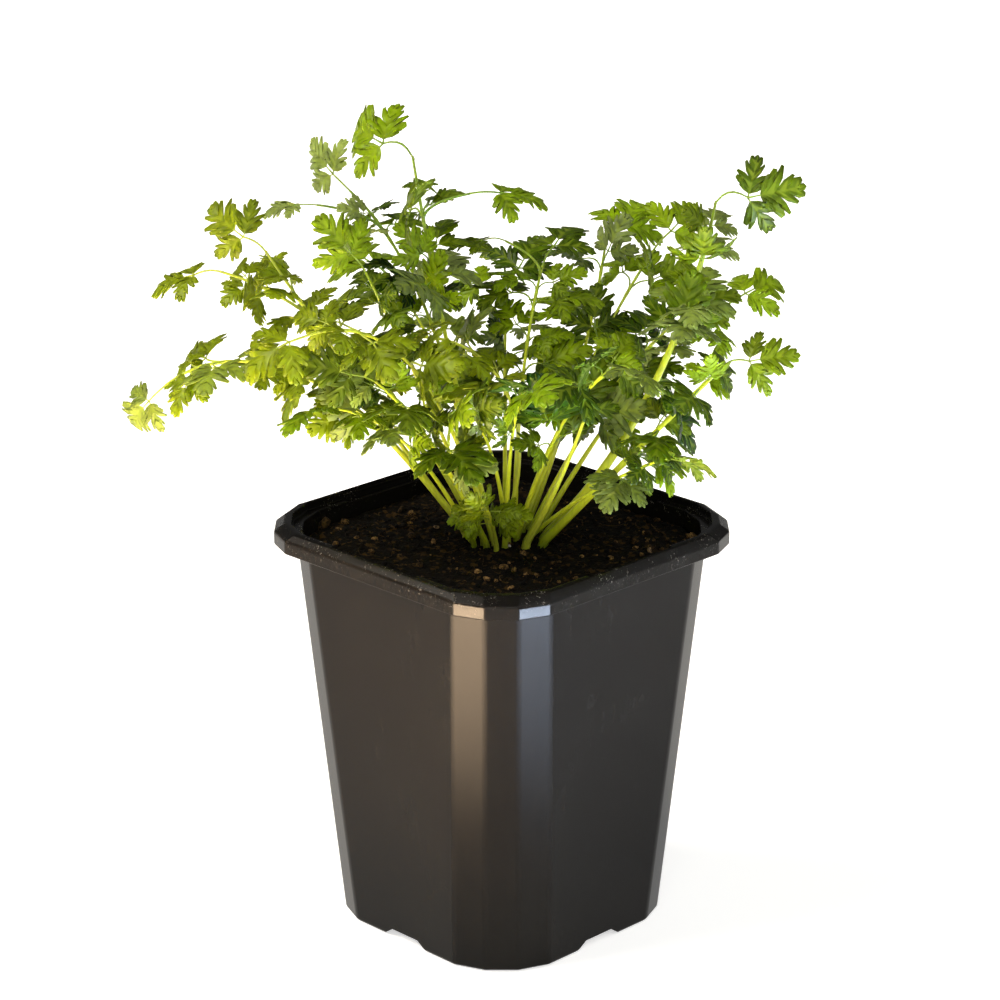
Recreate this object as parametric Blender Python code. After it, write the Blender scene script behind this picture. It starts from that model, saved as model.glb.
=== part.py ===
# Potted chervil: a square nursery pot with faceted corners, its soil, and the leafy stems.
# Metres, +Z up. The origin is the middle of the pot's base, on the ground it stands on.
# The flat sides face X and Y; the corner between +X and -Y is the front, where the viewer stands.
import math
import random
from collections import namedtuple
from itertools import product

import bmesh
import bpy
from mathutils import Matrix, Vector
from mathutils.bvhtree import BVHTree

mm = 0.001

# Pot: half widths are from the middle to a flat side
rimHalf = 55 * mm
rimFacet = 9.7 * mm
bodyTopHalf = 50.4 * mm
bodyFootHalf = 41.3 * mm
bodyFacet = 9.9 * mm
footRound = 0.8 * mm
wall = 1.4 * mm
floorThick = 1.5 * mm
bandBottom = 119.4 * mm
bandTop = 123.5 * mm
bandThick = 1.2 * mm
flangeUnder = 121.6 * mm
rimTop = 125.9 * mm
rimCrown = 0.1 * mm
rimChamfer = 2.2 * mm
lipHalf = 51.3 * mm
ledgeHeight = 123.4 * mm
ledgeCutWidth = 35 * mm
ledgeCutHeight = 122.7 * mm
ledgeGrace = 0.05 * mm
cutPast = 3 * mm

# Drainage notches in the middle of each side of the foot
notchWidth = 21 * mm
notchHeight = 2.9 * mm
notchSlope = 5 * mm
notchDepth = 17 * mm
roofSink = 0.4 * mm
drainRadius = 3.2 * mm
drainInset = 10 * mm

# Soil: its top lies under the rim, uneven, with coarser crumbs grown into it
soilTop = 117 * mm
soilGap = 0.3 * mm
sideGap = 0.4 * mm
soilRings = 4
soilInner = 0.42
soilSwell = 1.1 * mm
crumbCount = 12
crumbSmall = 1.3 * mm
crumbLarge = 2.6 * mm
crumbShape = (1, 0.8, 0.65, 1)
crumbNear = 0.5
crumbFar = 0.9
soilSeed = 3

# Crown: the spot where the stems leave the soil, right of the middle and a little back
crownRight = 1 * mm
crownAway = 4 * mm
crownRadius = 12 * mm
crownLean = 42
stemSink = 8 * mm
stemRise = 1.5 * mm
holePlay = 0.35 * mm
holeSides = 6
holeWall = 0.3 * mm
footStride = 0.5 * mm
turnTries = [0, 4, -4, 8, -8, 12, -12]
leanTries = [0, 3, -3, 6, -6]
stemClear = 0.6 * mm
stemSteps = 48
stemPoints = 9
stemTipRadius = 0.6 * mm
stemTaper = 0.7
stemBendIn = 3 * mm

weldGap = 0.01 * mm

# Leaf blades: a stalk that forks into three leaflets, as shares of the leaf's length
bladeThick = 0.8 * mm
bladeClear = 0.35 * mm
stalkHalf = 0.6 * mm
stalkFoot = 3 * mm
stalkShare = 0.36
topStalkShare = 0.20
sideShare = 0.44
sideAngle = math.radians(66)
sideArch = 0.5
pairAngle = math.radians(58)
pairEnd = 0.84
lowPairSize = 1.1
highPairSize = 0.9
tipSink = 1 * mm
upShare = 0.6
outShare = 0.25
viewerShare = 0.45
tiltShare = 0.45
soilClear = 3 * mm
leafSeed = 7
viewerAngle = math.radians(45)

# Teeth and cuts of the leaflets, across and along, as shares of the leaflet's length
topTeeth = [(0.07, 0.02), (0.38, 0.14), (0.50, 0.40), (0.19, 0.45), (0.23, 0.82), (0.07, 1.0)]
sideTeeth = [(0.42, 0.14), (0.50, 0.42), (0.18, 0.46), (0.14, 0.96), (-0.14, 0.94), (-0.29, 0.50)]

# Each leafy stem as it grows, seen from the front corner; lengths in mm, angles in degrees
# heading: plan direction, 0 to the right and 90 to the back; leans: from upright, at the soil and the tip
# bend: how late the lean changes; nod: how far the tip leaf leans past the stem
# pairs of leaves, from which share of the stem on, and the leaves' length
Frond = namedtuple("Frond", "name tint heading leanFoot leanTip bend length radius nod pairs start leaf")
fronds = [
    Frond("frond_tall_right", "green", 352, 44, 10, 0.8, 118, 2.1, 66, 2, 0.64, 28),
    Frond("frond_far_right", "green", 342, 42, 42, 1.0, 82, 1.7, 30, 2, 0.60, 25),
    Frond("stem_cut", "lime", 310, 36, 24, 1.0, 52, 1.5, 0, 0, 1.0, 0),
    Frond("frond_far_left", "lime", 192, 36, 128, 2.8, 117, 1.4, 5, 2, 0.58, 25),
    Frond("frond_left_high", "lime", 172, 28, 76, 1.9, 114, 1.2, 20, 2, 0.60, 26),
    Frond("frond_left_light", "lime", 187, 34, 32, 1.0, 107, 1.1, 20, 2, 0.60, 25),
    Frond("frond_up_left", "green", 152, 16, 54, 3.0, 113, 1.1, 0, 2, 0.66, 22),
    Frond("frond_tall", "green", 162, 15, 9, 1.0, 118, 1.3, 58, 2, 0.64, 26),
    Frond("frond_tall_small", "green", 200, 19, 26, 1.0, 94, 1.0, 10, 2, 0.62, 24),
    Frond("frond_lime_arch", "lime", 215, 21, 95, 3.0, 104, 1.1, 0, 2, 0.62, 28),
    Frond("frond_low_left", "green", 208, 28, 74, 2.2, 68, 1.0, 0, 1, 0.70, 26),
    Frond("frond_low_right", "green", 330, 48, 66, 1.0, 60, 0.9, 0, 1, 0.80, 21),
    Frond("frond_right_mid", "green", 15, 27, 52, 2.0, 76, 1.1, 10, 2, 0.50, 27),
    Frond("frond_right_back_high", "green", 38, 27, 44, 2.0, 94, 1.1, 10, 2, 0.60, 27),
    Frond("frond_right_back", "green", 52, 38, 14, 1.0, 90, 1.1, 30, 1, 0.66, 29),
    Frond("frond_right_front", "green", 318, 20, 55, 2.0, 74, 1.1, 10, 2, 0.55, 27),
    Frond("frond_arch_over", "lime", 180, -14, 100, 1.9, 82, 1.0, 0, 1, 0.72, 27),
    Frond("frond_left_mid", "green", 222, 28, 50, 2.0, 74, 1.1, 10, 2, 0.55, 27),
    Frond("frond_front_left", "green", 245, 16, 62, 2.0, 62, 1.0, 10, 1, 0.55, 28),
    Frond("frond_front", "green", 280, 12, 58, 2.0, 66, 1.1, 10, 2, 0.50, 27),
    Frond("frond_centre", "green", 60, 3, 30, 2.0, 82, 1.1, 20, 2, 0.50, 27),
    Frond("frond_back_left", "green", 128, 24, 62, 2.0, 86, 1.0, 10, 1, 0.66, 29),
    Frond("frond_back", "green", 90, 26, 60, 2.0, 84, 1.0, 10, 1, 0.55, 31),
    Frond("frond_back_right", "green", 20, 33, 62, 2.0, 88, 1.1, 0, 1, 0.66, 28),
    Frond("leaf_young", "green", 262, 34, 60, 1.2, 27, 0.9, 10, 1, 0.60, 15),
]

# Turns tried for a leaf that would touch another: yaw, lift and roll in degrees, at ever smaller sizes
nudgeTurns = [(0, 0, 0), (14, 0, 0), (-14, 0, 0), (0, 16, 0), (0, -16, 0), (0, 0, 28), (0, 0, -28),
              (26, 10, 15), (-26, -10, -15), (30, -12, -20), (-30, 14, 20), (12, 25, 40), (12, -25, -40)]
nudgeSizes = [1, 0.88, 0.76, 0.66]

Stem = namedtuple("Stem", "frond foot heading route directions")
Leaf = namedtuple("Leaf", "frame length droop")
Probe = namedtuple("Probe", "whole far low")


# Scene and materials

def clearScene():
    for item in list(bpy.data.objects):
        bpy.data.objects.remove(item, do_unlink=True)


def newCollection(name):
    made = bpy.data.collections.new(name)
    bpy.context.scene.collection.children.link(made)
    return made


def plainMaterial(name, colour, roughness):
    made = bpy.data.materials.new(name)
    made.use_nodes = True
    shader = made.node_tree.nodes["Principled BSDF"]
    shader.inputs["Base Color"].default_value = (*colour, 1)
    shader.inputs["Roughness"].default_value = roughness
    shader.inputs["Metallic"].default_value = 0
    return made


def meshObject(name, shape, collection, material=None):
    mesh = bpy.data.meshes.new(name)
    shape.to_mesh(mesh)
    shape.free()
    made = bpy.data.objects.new(name, mesh)
    collection.objects.link(made)
    if material:
        mesh.materials.append(material)
    return made


def evaluatedMesh(item):
    seen = item.evaluated_get(bpy.context.evaluated_depsgraph_get())
    return bpy.data.meshes.new_from_object(seen)


def hideCutter(item):
    item.hide_render = True
    item.display_type = "WIRE"


def addBoolean(item, other, operation):
    boolean = item.modifiers.new(operation.title(), "BOOLEAN")
    boolean.operation = operation
    boolean.solver = "EXACT"
    boolean.object = other


# Square outline whose corners are cut by three equal facets

def facetedSquare(half, facet):
    turns = [math.radians(degrees) for degrees in (22.5, 45, 67.5)]
    cut = facet * sum(math.sin(turn) for turn in turns)
    corner = [Vector((half, half - cut))]
    for turn in turns:
        corner.append(corner[-1] + facet * Vector((-math.sin(turn), math.cos(turn))))
    quarter = Matrix.Rotation(math.pi / 2, 2)
    outline = []
    for _ in range(4):
        outline += corner
        corner = [quarter @ point for point in corner]
    return outline


# A closed solid through a row of like outlines of corners, the first and the last capped
def loft(rings):
    shape = bmesh.new()
    rows = [[shape.verts.new(corner) for corner in ring] for ring in rings]
    for below, above in zip(rows, rows[1:]):
        for place in range(len(below)):
            shape.faces.new((below[place - 1], below[place], above[place], above[place - 1]))
    shape.faces.new(rows[0])
    shape.faces.new(rows[-1])
    bmesh.ops.recalc_face_normals(shape, faces=shape.faces)
    return shape


def levelRing(half, facet, height):
    return [Vector((*point, height)) for point in facetedSquare(half, facet)]


def bodyHalfAt(height):
    return bodyFootHalf + (bodyTopHalf - bodyFootHalf) * height / flangeUnder


def sideTurn(side):
    return Matrix.Rotation(side * math.pi / 2, 3, "Z")


# Pot

def potLevels():
    inside = bodyHalfAt(ledgeHeight) - wall
    bandInside = rimHalf - bandThick
    chamferHalf = rimHalf - rimChamfer
    sections = [
        (bodyFootHalf - footRound, bodyFacet, 0),
        (bodyFootHalf, bodyFacet, footRound),
        (bodyTopHalf, bodyFacet, flangeUnder),
        (bandInside, rimFacet, flangeUnder),
        (bandInside, rimFacet, bandBottom),
        (rimHalf, rimFacet, bandBottom),
        (rimHalf, rimFacet, bandTop),
        (chamferHalf, rimFacet, rimTop - rimCrown),
        (lipHalf, rimFacet, rimTop),
        (lipHalf, rimFacet, ledgeHeight),
        (inside, bodyFacet, ledgeHeight),
        (bodyHalfAt(floorThick) - wall, bodyFacet, floorThick),
    ]
    return [levelRing(*section) for section in sections]


# A block between two opposite corners, turned to one side of the pot
def sideBlock(name, side, low, high, collection):
    shape = bmesh.new()
    bmesh.ops.create_cube(shape, size=1)
    bmesh.ops.scale(shape, verts=shape.verts, vec=high - low)
    bmesh.ops.translate(shape, verts=shape.verts, vec=(low + high) / 2)
    bmesh.ops.rotate(shape, verts=shape.verts, matrix=sideTurn(side))
    return meshObject(name, shape, collection)


# A ridge with sloping sides that runs in from the foot of one side
def notchBar(name, side, width, bottom, top, start, end, collection):
    slope = notchSlope
    section = [(-width / 2, bottom), (width / 2, bottom), (width / 2 - slope, top), (slope - width / 2, top)]
    shape = loft([[Vector((reach, across, height)) for across, height in section] for reach in (start, end)])
    bmesh.ops.rotate(shape, verts=shape.verts, matrix=sideTurn(side))
    return meshObject(name, shape, collection)


# The roof over each notch, inside the pot; grown by a gap it also cuts the soil
def notchRoof(name, side, grow, collection):
    start = bodyFootHalf - notchDepth - wall - grow
    width = notchWidth + 2 * (wall + grow)
    top = notchHeight + wall + grow
    return notchBar(name, side, width, roofSink, top, start, bodyFootHalf - wall / 2, collection)


def notchCut(side, cutters):
    start = bodyFootHalf - notchDepth
    end = bodyFootHalf + cutPast
    return notchBar(f"notch_cut_{side}", side, notchWidth, -notchHeight / 4, notchHeight, start, end, cutters)


def drainCut(side, cutters):
    shape = bmesh.new()
    place = sideTurn(side).to_4x4() @ Matrix.Translation((bodyFootHalf - drainInset, 0, 0))
    bmesh.ops.create_cone(shape, cap_ends=True, segments=8, radius1=drainRadius, radius2=drainRadius,
                          depth=4 * notchHeight, matrix=place)
    return meshObject(f"drain_cut_{side}", shape, cutters)


# Cuts the stacking ledge inside the rim a little lower in the middle of a side
def ledgeCut(side, cutters):
    low = Vector((bodyHalfAt(ledgeHeight) - wall - cutPast, -ledgeCutWidth / 2, ledgeCutHeight))
    high = Vector((lipHalf - ledgeGrace, ledgeCutWidth / 2, rimTop + cutPast))
    return sideBlock(f"ledge_cut_{side}", side, low, high, cutters)


def buildPot(collection, cutters):
    plastic = plainMaterial("pot_plastic", (0.032, 0.030, 0.029), 0.38)
    pot = meshObject("pot", loft(potLevels()), collection, plastic)
    for side in range(4):
        addBoolean(pot, notchRoof(f"notch_roof_{side}", side, 0, cutters), "UNION")
        addBoolean(pot, notchCut(side, cutters), "DIFFERENCE")
        addBoolean(pot, drainCut(side, cutters), "DIFFERENCE")
        addBoolean(pot, ledgeCut(side, cutters), "DIFFERENCE")


# A point of the plan, measured to the viewer's right and away from the viewer
def planPoint(right, away):
    return Matrix.Rotation(viewerAngle, 2) @ Vector((right, away))


# Stems: each leans in its own heading, by an angle that changes along its length

def stemRoute(frond, foot, heading, leanShift):
    stride = frond.length * mm / stemSteps
    sink = Vector((0, 0, stemSink))
    point = Vector((*foot, soilTop))
    route = [point - sink, point - sink / 2]
    point = point + Vector((0, 0, stemRise))
    route.append(point)
    directions = [Vector((0, 0, 1))] * 3
    ahead = Vector((*planPoint(math.cos(heading), math.sin(heading)), 0))
    for step in range(stemSteps):
        share = (step + 0.5) / stemSteps
        lean = frond.leanFoot + leanShift + (frond.leanTip - frond.leanFoot) * share ** frond.bend
        lean = math.radians(lean) * min(1, (step + 1) * stride / stemBendIn)
        direction = ahead * math.sin(lean) + Vector((0, 0, math.cos(lean)))
        point = point + direction * stride
        route.append(point)
        directions.append(direction)
    return route, directions


def radiusAt(frond, share):
    thin = min(stemTipRadius, frond.radius * mm)
    return frond.radius * mm + (thin - frond.radius * mm) * share ** stemTaper


def holeRadius(frond):
    return (frond.radius * mm + holePlay) / math.cos(math.pi / holeSides)


# The foot of a stem: where its lean and heading put it, or the nearest spot with room around it
def footFor(frond, stems):
    reach = crownRadius * min(1, max(0, frond.leanFoot) / crownLean)
    heading = math.radians(frond.heading)
    wish = planPoint(crownRight + reach * math.cos(heading), crownAway + reach * math.sin(heading))
    golden = math.pi * (3 - math.sqrt(5))
    for step in range(400):
        away = footStride * math.sqrt(step)
        spot = wish + away * Vector((math.cos(step * golden), math.sin(step * golden)))
        rooms = [(spot - stem.foot).length - holeRadius(frond) - holeRadius(stem.frond) for stem in stems]
        if min(rooms, default=1) > holeWall:
            return spot
    raise ValueError("no room in the crown for " + frond.name)


def clearRoom(frond, route, stems):
    rooms = [min((a - b).length for a in route for b in stem.route) - (frond.radius + stem.frond.radius) * mm
             for stem in stems]
    return min(rooms, default=1)


# A stem that would touch another turns aside, or leans a little more or less
def planStems():
    stems = []
    for frond in fronds:
        foot = footFor(frond, stems)
        tries = []
        for leanShift, turn in product(leanTries, turnTries):
            heading = math.radians(frond.heading + turn)
            route, directions = stemRoute(frond, foot, heading, leanShift)
            stem = Stem(frond, foot, heading, route, directions)
            tries.append((min(stemClear, clearRoom(frond, route, stems)), -len(tries), stem))
        stems.append(max(tries)[2])
    return stems


def weldedMesh(item):
    mesh = evaluatedMesh(item)
    bpy.data.objects.remove(item)
    shape = bmesh.new()
    shape.from_mesh(mesh)
    bmesh.ops.remove_doubles(shape, verts=shape.verts, dist=weldGap)
    bmesh.ops.recalc_face_normals(shape, faces=shape.faces)
    shape.to_mesh(mesh)
    shape.free()
    return mesh


def curveItem(name, dimensions, points, radii, closed):
    curve = bpy.data.curves.new(name, "CURVE")
    curve.dimensions = dimensions
    spline = curve.splines.new("POLY")
    spline.points.add(len(points) - 1)
    for knot, point, radius in zip(spline.points, points, radii):
        knot.co = (*point, 1)
        knot.radius = radius
    spline.use_cyclic_u = closed
    item = bpy.data.objects.new(name, curve)
    bpy.context.scene.collection.objects.link(item)
    return item


def stemMesh(stem):
    last = len(stem.route) - 1
    chosen = [0, 2] + [3 + round((last - 3) * step / (stemPoints - 3)) for step in range(stemPoints - 2)]
    radii = [radiusAt(stem.frond, max(0, index - 2) / (last - 2)) for index in chosen]
    item = curveItem(stem.frond.name, "3D", [stem.route[index] for index in chosen], radii, False)
    item.data.bevel_depth = 1
    item.data.bevel_resolution = 1
    item.data.use_fill_caps = True
    return weldedMesh(item)


# Leaf outline: the right half from the stalk's foot to the tip, then its mirror image

def leafOutline(length):
    fork = Vector((0, stalkShare * length))
    topFoot = fork + Vector((0, topStalkShare * length))
    turn = Matrix.Rotation(-sideAngle, 2)
    right = [Vector((stalkHalf, 0)), fork + Vector((stalkHalf, -stalkHalf))]
    right += [turn @ (sideShare * length * Vector(tooth)) + fork for tooth in sideTeeth]
    right += [(length - topFoot.y) * Vector(tooth) + topFoot for tooth in topTeeth]
    return right + [Vector((-point.x, point.y)) for point in reversed(right)]


def flatBlade(length, thickness):
    outline = [(*point, 0) for point in leafOutline(length)]
    item = curveItem("blade", "2D", outline, [1] * len(outline), True)
    item.data.fill_mode = "BOTH"
    item.data.extrude = thickness / 2
    return weldedMesh(item)


# The blade droops along its length and arches down to both sides of its rib
def archPoint(point, length, droop):
    radius = length / droop
    height = radius + point.z - sideArch * point.x ** 2 / length
    angle = point.y / radius
    return Vector((point.x, height * math.sin(angle), height * math.cos(angle) - radius))


def bladeMesh(leaf, extra):
    mesh = flatBlade(leaf.length, bladeThick + 2 * extra)
    grow = 1 + 2 * extra / leaf.length
    for vertex in mesh.vertices:
        spread = Vector((vertex.co.x * grow, vertex.co.y * grow, vertex.co.z))
        vertex.co = leaf.frame @ archPoint(spread, leaf.length, leaf.droop)
    return mesh


# Leaves: one at the tip of a stem and pairs along it; seeded draws turn each a little

def drawFor(chance):
    return {
        "size": chance.uniform(0.88, 1.12),
        "yaw": math.radians(chance.uniform(-9, 9)),
        "lift": math.radians(chance.uniform(-4, 14)),
        "droop": math.radians(chance.uniform(20, 55)),
        "tilt": Vector([chance.uniform(-1, 1) for _ in range(3)]),
    }


# The lower leaves of a stem are longer than the upper ones
def pairSize(frond, share, side):
    if side == 0 or frond.pairs == 1:
        return 1
    return lowPairSize + (highPairSize - lowPairSize) * (share - frond.start) / (pairEnd - frond.start)


# side is 0 for the leaf at the tip, 1 or -1 for the two of a pair
def leafAt(stem, share, side, draw, nudge, size):
    yaw, lift, roll = [math.radians(angle) for angle in nudge]
    index = 2 + round(share * (len(stem.route) - 3))
    tangent = stem.directions[index]
    outward = Vector((*planPoint(math.cos(stem.heading), math.sin(stem.heading)), 0))
    sideways = Vector((0, 0, 1)).cross(outward)
    root = stem.route[index]
    if side == 0:
        along = Matrix.Rotation(math.radians(stem.frond.nod), 3, sideways) @ tangent
        along = Matrix.Rotation(yaw, 3, Vector((0, 0, 1))) @ along
        root = root - tipSink * tangent
    else:
        angle = pairAngle + draw["yaw"] + yaw
        along = tangent * math.cos(angle) + side * sideways * math.sin(angle)
    viewer = Vector((*planPoint(0, -1), 0))
    up = Vector((0, 0, upShare)) + outShare * outward + viewerShare * viewer + tiltShare * draw["tilt"]
    along = Matrix.Rotation(lift + draw["lift"], 3, along.cross(up).normalized()) @ along
    up = Matrix.Rotation(roll, 3, along) @ up
    across = along.cross(up).normalized()
    frame = Matrix((across, along, across.cross(along))).transposed().to_4x4()
    length = stem.frond.leaf * mm * size * draw["size"] * pairSize(stem.frond, share, side)
    return Leaf(Matrix.Translation(root) @ frame, length, draw["droop"])


def treeOf(mesh, faces):
    return BVHTree.FromPolygons([vertex.co for vertex in mesh.vertices], faces)


def facesOf(mesh):
    return [tuple(face.vertices) for face in mesh.polygons]


# The blade for finding what it touches: all of it, without the foot of its stalk, and its lowest height
def probeLeaf(leaf):
    mesh = bladeMesh(leaf, bladeClear)
    root = leaf.frame.translation
    faces = facesOf(mesh)
    far = [face for face in faces if min((mesh.vertices[v].co - root).length for v in face) > stalkFoot]
    low = min(vertex.co.z for vertex in mesh.vertices)
    probe = Probe(treeOf(mesh, faces), treeOf(mesh, far), low)
    bpy.data.meshes.remove(mesh)
    return probe


# Clear of the soil inside the pot's rim, and above the rim where it reaches over it
def clearsPot(leaf, low):
    root = leaf.frame.translation
    inside = max(abs(root.x), abs(root.y)) + leaf.length < lipHalf - soilClear
    return low > rimTop or inside and low > soilTop + soilClear


# A leaf may meet the foot of its own stalk's neighbours, and nothing of another stem
def isFree(probe, place, stemTrees, placed):
    if any(probe.whole.overlap(tree) for index, tree in enumerate(stemTrees) if index != place):
        return False
    if any(probe.whole.overlap(other.whole) for index, other in placed if index != place):
        return False
    return not any(probe.far.overlap(other.far) for index, other in placed if index == place)


def leafSpots(frond):
    spots = [(1, 0)] if frond.leaf else []
    for pair in range(frond.pairs):
        share = frond.start + (pairEnd - frond.start) * pair / max(1, frond.pairs - 1)
        spots += [(share, 1), (share, -1)]
    return spots


# Each leaf takes the first turn and size that touches nothing; one that finds none is left out
def planLeaves(stems):
    chance = random.Random(leafSeed)
    meshes = [stemMesh(stem) for stem in stems]
    stemTrees = [treeOf(mesh, facesOf(mesh)) for mesh in meshes]
    placed = []
    plan = []
    for place, stem in enumerate(stems):
        leaves = []
        for share, side in leafSpots(stem.frond):
            draw = drawFor(chance)
            for size, nudge in product(nudgeSizes, nudgeTurns):
                leaf = leafAt(stem, share, side, draw, nudge, size)
                probe = probeLeaf(leaf)
                if clearsPot(leaf, probe.low) and isFree(probe, place, stemTrees, placed):
                    placed.append((place, probe))
                    leaves.append(leaf)
                    break
        plan.append(leaves)
    return plan


# One union of a stem and its leaves, which are then removed
def fuseFrond(stem, leaves, collection, scratch, material):
    name = stem.frond.name
    item = bpy.data.objects.new(name, stemMesh(stem))
    collection.objects.link(item)
    for number, leaf in enumerate(leaves):
        scratch.objects.link(bpy.data.objects.new(f"{name}_leaf_{number}", bladeMesh(leaf, 0)))
    fuseInto(item, scratch)
    item.data.materials.clear()
    item.data.materials.append(material)


def fuseInto(item, scratch):
    if not scratch.objects:
        return
    boolean = item.modifiers.new("Union", "BOOLEAN")
    boolean.operation = "UNION"
    boolean.solver = "EXACT"
    boolean.operand_type = "COLLECTION"
    boolean.collection = scratch
    fused = evaluatedMesh(item)
    item.modifiers.clear()
    item.data = fused
    for other in list(scratch.objects):
        bpy.data.objects.remove(other, do_unlink=True)


# Soil: a filling as wide as the pot's inside, with crumbs on top and a plain hole for each stem

def unevenPoint(point, share, swell, chance):
    shift = Vector((chance.uniform(-1, 1) * mm, chance.uniform(-1, 1) * mm, chance.uniform(0, 2) * swell))
    return Vector((point.x * share, point.y * share, soilTop)) + shift


def soilShape(chance):
    rings = [levelRing(bodyHalfAt(height) - wall - sideGap, bodyFacet, height)
             for height in (floorThick + soilGap, soilTop)]
    edge = rings[-1]
    for ring in range(1, soilRings + 1):
        share = 1 - (1 - soilInner) * ring / soilRings
        swell = soilSwell if ring < soilRings else 0
        rings.append([unevenPoint(point, share, swell, chance) for point in edge])
    return loft(rings)


def addCrumbs(chance, scratch):
    for number in range(crumbCount):
        turn = chance.uniform(0, 2 * math.pi)
        reach = chance.uniform(crumbNear, crumbFar) * bodyTopHalf
        size = chance.uniform(crumbSmall, crumbLarge)
        place = Matrix.Translation((reach * math.cos(turn), reach * math.sin(turn), soilTop + soilSwell))
        spin = Matrix.Rotation(chance.uniform(0, math.pi), 4, Vector((chance.uniform(-1, 1), 1, 1)))
        crumb = bmesh.new()
        bmesh.ops.create_icosphere(crumb, subdivisions=1, radius=size,
                                   matrix=place @ spin @ Matrix.Diagonal(crumbShape))
        meshObject(f"crumb_{number}", crumb, scratch)


def buildSoil(stems, collection, cutters, scratch):
    earth = plainMaterial("soil_earth", (0.030, 0.020, 0.013), 0.95)
    chance = random.Random(soilSeed)
    soil = meshObject("soil", soilShape(chance), collection, earth)
    addCrumbs(chance, scratch)
    fuseInto(soil, scratch)
    for side in range(4):
        addBoolean(soil, notchRoof(f"soil_roof_cut_{side}", side, soilGap, cutters), "DIFFERENCE")
    for stem in stems:
        hole = bmesh.new()
        depth = 2 * stemSink
        middle = Matrix.Translation((*stem.foot, soilTop - stemSink - holePlay + depth / 2))
        bmesh.ops.create_cone(hole, cap_ends=True, segments=holeSides, radius1=holeRadius(stem.frond),
                              radius2=holeRadius(stem.frond), depth=depth, matrix=middle)
        addBoolean(soil, meshObject("hole_" + stem.frond.name, hole, cutters), "DIFFERENCE")


def main():
    clearScene()
    collection = newCollection("potted_chervil")
    cutters = newCollection("cutters")
    scratch = newCollection("pieces_to_fuse")
    buildPot(collection, cutters)
    stems = planStems()
    buildSoil(stems, collection, cutters, scratch)
    tints = {
        "green": plainMaterial("leaf_green", (0.07, 0.20, 0.02), 0.5),
        "lime": plainMaterial("leaf_lime", (0.24, 0.36, 0.03), 0.5),
    }
    for stem, leaves in zip(stems, planLeaves(stems)):
        fuseFrond(stem, leaves, collection, scratch, tints[stem.frond.tint])
    bpy.data.collections.remove(scratch)
    for item in cutters.objects:
        hideCutter(item)


main()
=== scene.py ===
# Potted chervil: the looks of the plant, its soil and its pot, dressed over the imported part.
# Metres, +Z up, the same frame as the part. The corner between +X and -Y is the front.
import math
import random
from collections import namedtuple
from functools import partial
from itertools import product

import bmesh
import bpy
import numpy as np
from mathutils import Matrix, Vector, noise
from mathutils.bvhtree import BVHTree


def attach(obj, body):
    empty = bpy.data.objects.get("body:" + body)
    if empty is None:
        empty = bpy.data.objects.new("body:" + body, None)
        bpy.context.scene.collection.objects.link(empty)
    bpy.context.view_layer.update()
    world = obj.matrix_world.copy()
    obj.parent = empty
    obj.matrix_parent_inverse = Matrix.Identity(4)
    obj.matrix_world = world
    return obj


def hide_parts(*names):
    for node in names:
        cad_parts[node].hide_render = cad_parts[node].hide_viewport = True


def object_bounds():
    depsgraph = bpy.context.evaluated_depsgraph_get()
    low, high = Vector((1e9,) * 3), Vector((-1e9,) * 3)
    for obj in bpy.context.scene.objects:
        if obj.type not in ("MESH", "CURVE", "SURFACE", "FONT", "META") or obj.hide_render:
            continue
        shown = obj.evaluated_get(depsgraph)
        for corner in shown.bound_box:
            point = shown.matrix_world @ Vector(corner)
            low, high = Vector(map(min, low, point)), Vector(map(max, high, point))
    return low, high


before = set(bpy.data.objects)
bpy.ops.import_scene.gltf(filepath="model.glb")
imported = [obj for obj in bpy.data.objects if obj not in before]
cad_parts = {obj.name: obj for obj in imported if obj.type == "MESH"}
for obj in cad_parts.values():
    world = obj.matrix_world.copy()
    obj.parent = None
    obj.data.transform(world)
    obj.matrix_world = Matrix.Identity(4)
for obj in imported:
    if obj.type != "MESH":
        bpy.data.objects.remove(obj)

mm = 0.001
fullTurn = 6.28
viewerTurn = math.radians(45)
upright = Vector((0, 0, 1))
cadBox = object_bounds()
print("frame loaded:", len(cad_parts), "nodes")


# Small helpers

# An sRGB hex colour or a grey, as a linear colour
def linear(colour):
    if not isinstance(colour, str):
        return (colour, colour, colour, 1)
    parts = [int(colour[place:place + 2], 16) / 255 for place in (1, 3, 5)]
    return tuple(part / 12.92 if part <= 0.04045 else ((part + 0.055) / 1.055) ** 2.4 for part in parts) + (1,)


# A socket is linked, "stops" fill a colour ramp, and the rest are the node's settings or its inputs
def setNode(node, settings):
    for key, value in settings.items():
        if key == "stops":
            band = node.color_ramp.elements
            while len(band) < len(value):
                band.new(0.5)
            for element, (position, colour) in zip(band, value):
                element.position = position
                element.color = linear(colour)
        elif isinstance(value, bpy.types.NodeSocket):
            node.id_data.links.new(value, node.inputs[key])
        elif isinstance(key, str) and hasattr(node, key):
            setattr(node, key, value)
        else:
            node.inputs[key].default_value = linear(value) if isinstance(value, str) else value


def addNode(tree, kind, settings, output=0):
    node = tree.nodes.new("ShaderNode" + kind)
    setNode(node, settings)
    return node.outputs[output]


def newMaterial(name):
    made = bpy.data.materials.new(name)
    made.use_nodes = True
    add = partial(addNode, made.node_tree)
    return made, add, made.node_tree.nodes["Principled BSDF"], add("TexCoord", {}, "Object")


# settings that many nodes share
mixed = {"data_type": "RGBA"}
tinted = {"data_type": "RGBA", "blend_type": "MULTIPLY", 0: 1.0}
times = {"operation": "MULTIPLY"}
plus = {"operation": "ADD"}


# features: how many of a pattern of this size go in a metre
def features(sizeMm):
    return 1 / (sizeMm * mm)


def levelDirection(heading):
    return Vector((math.cos(heading), math.sin(heading)))


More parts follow.
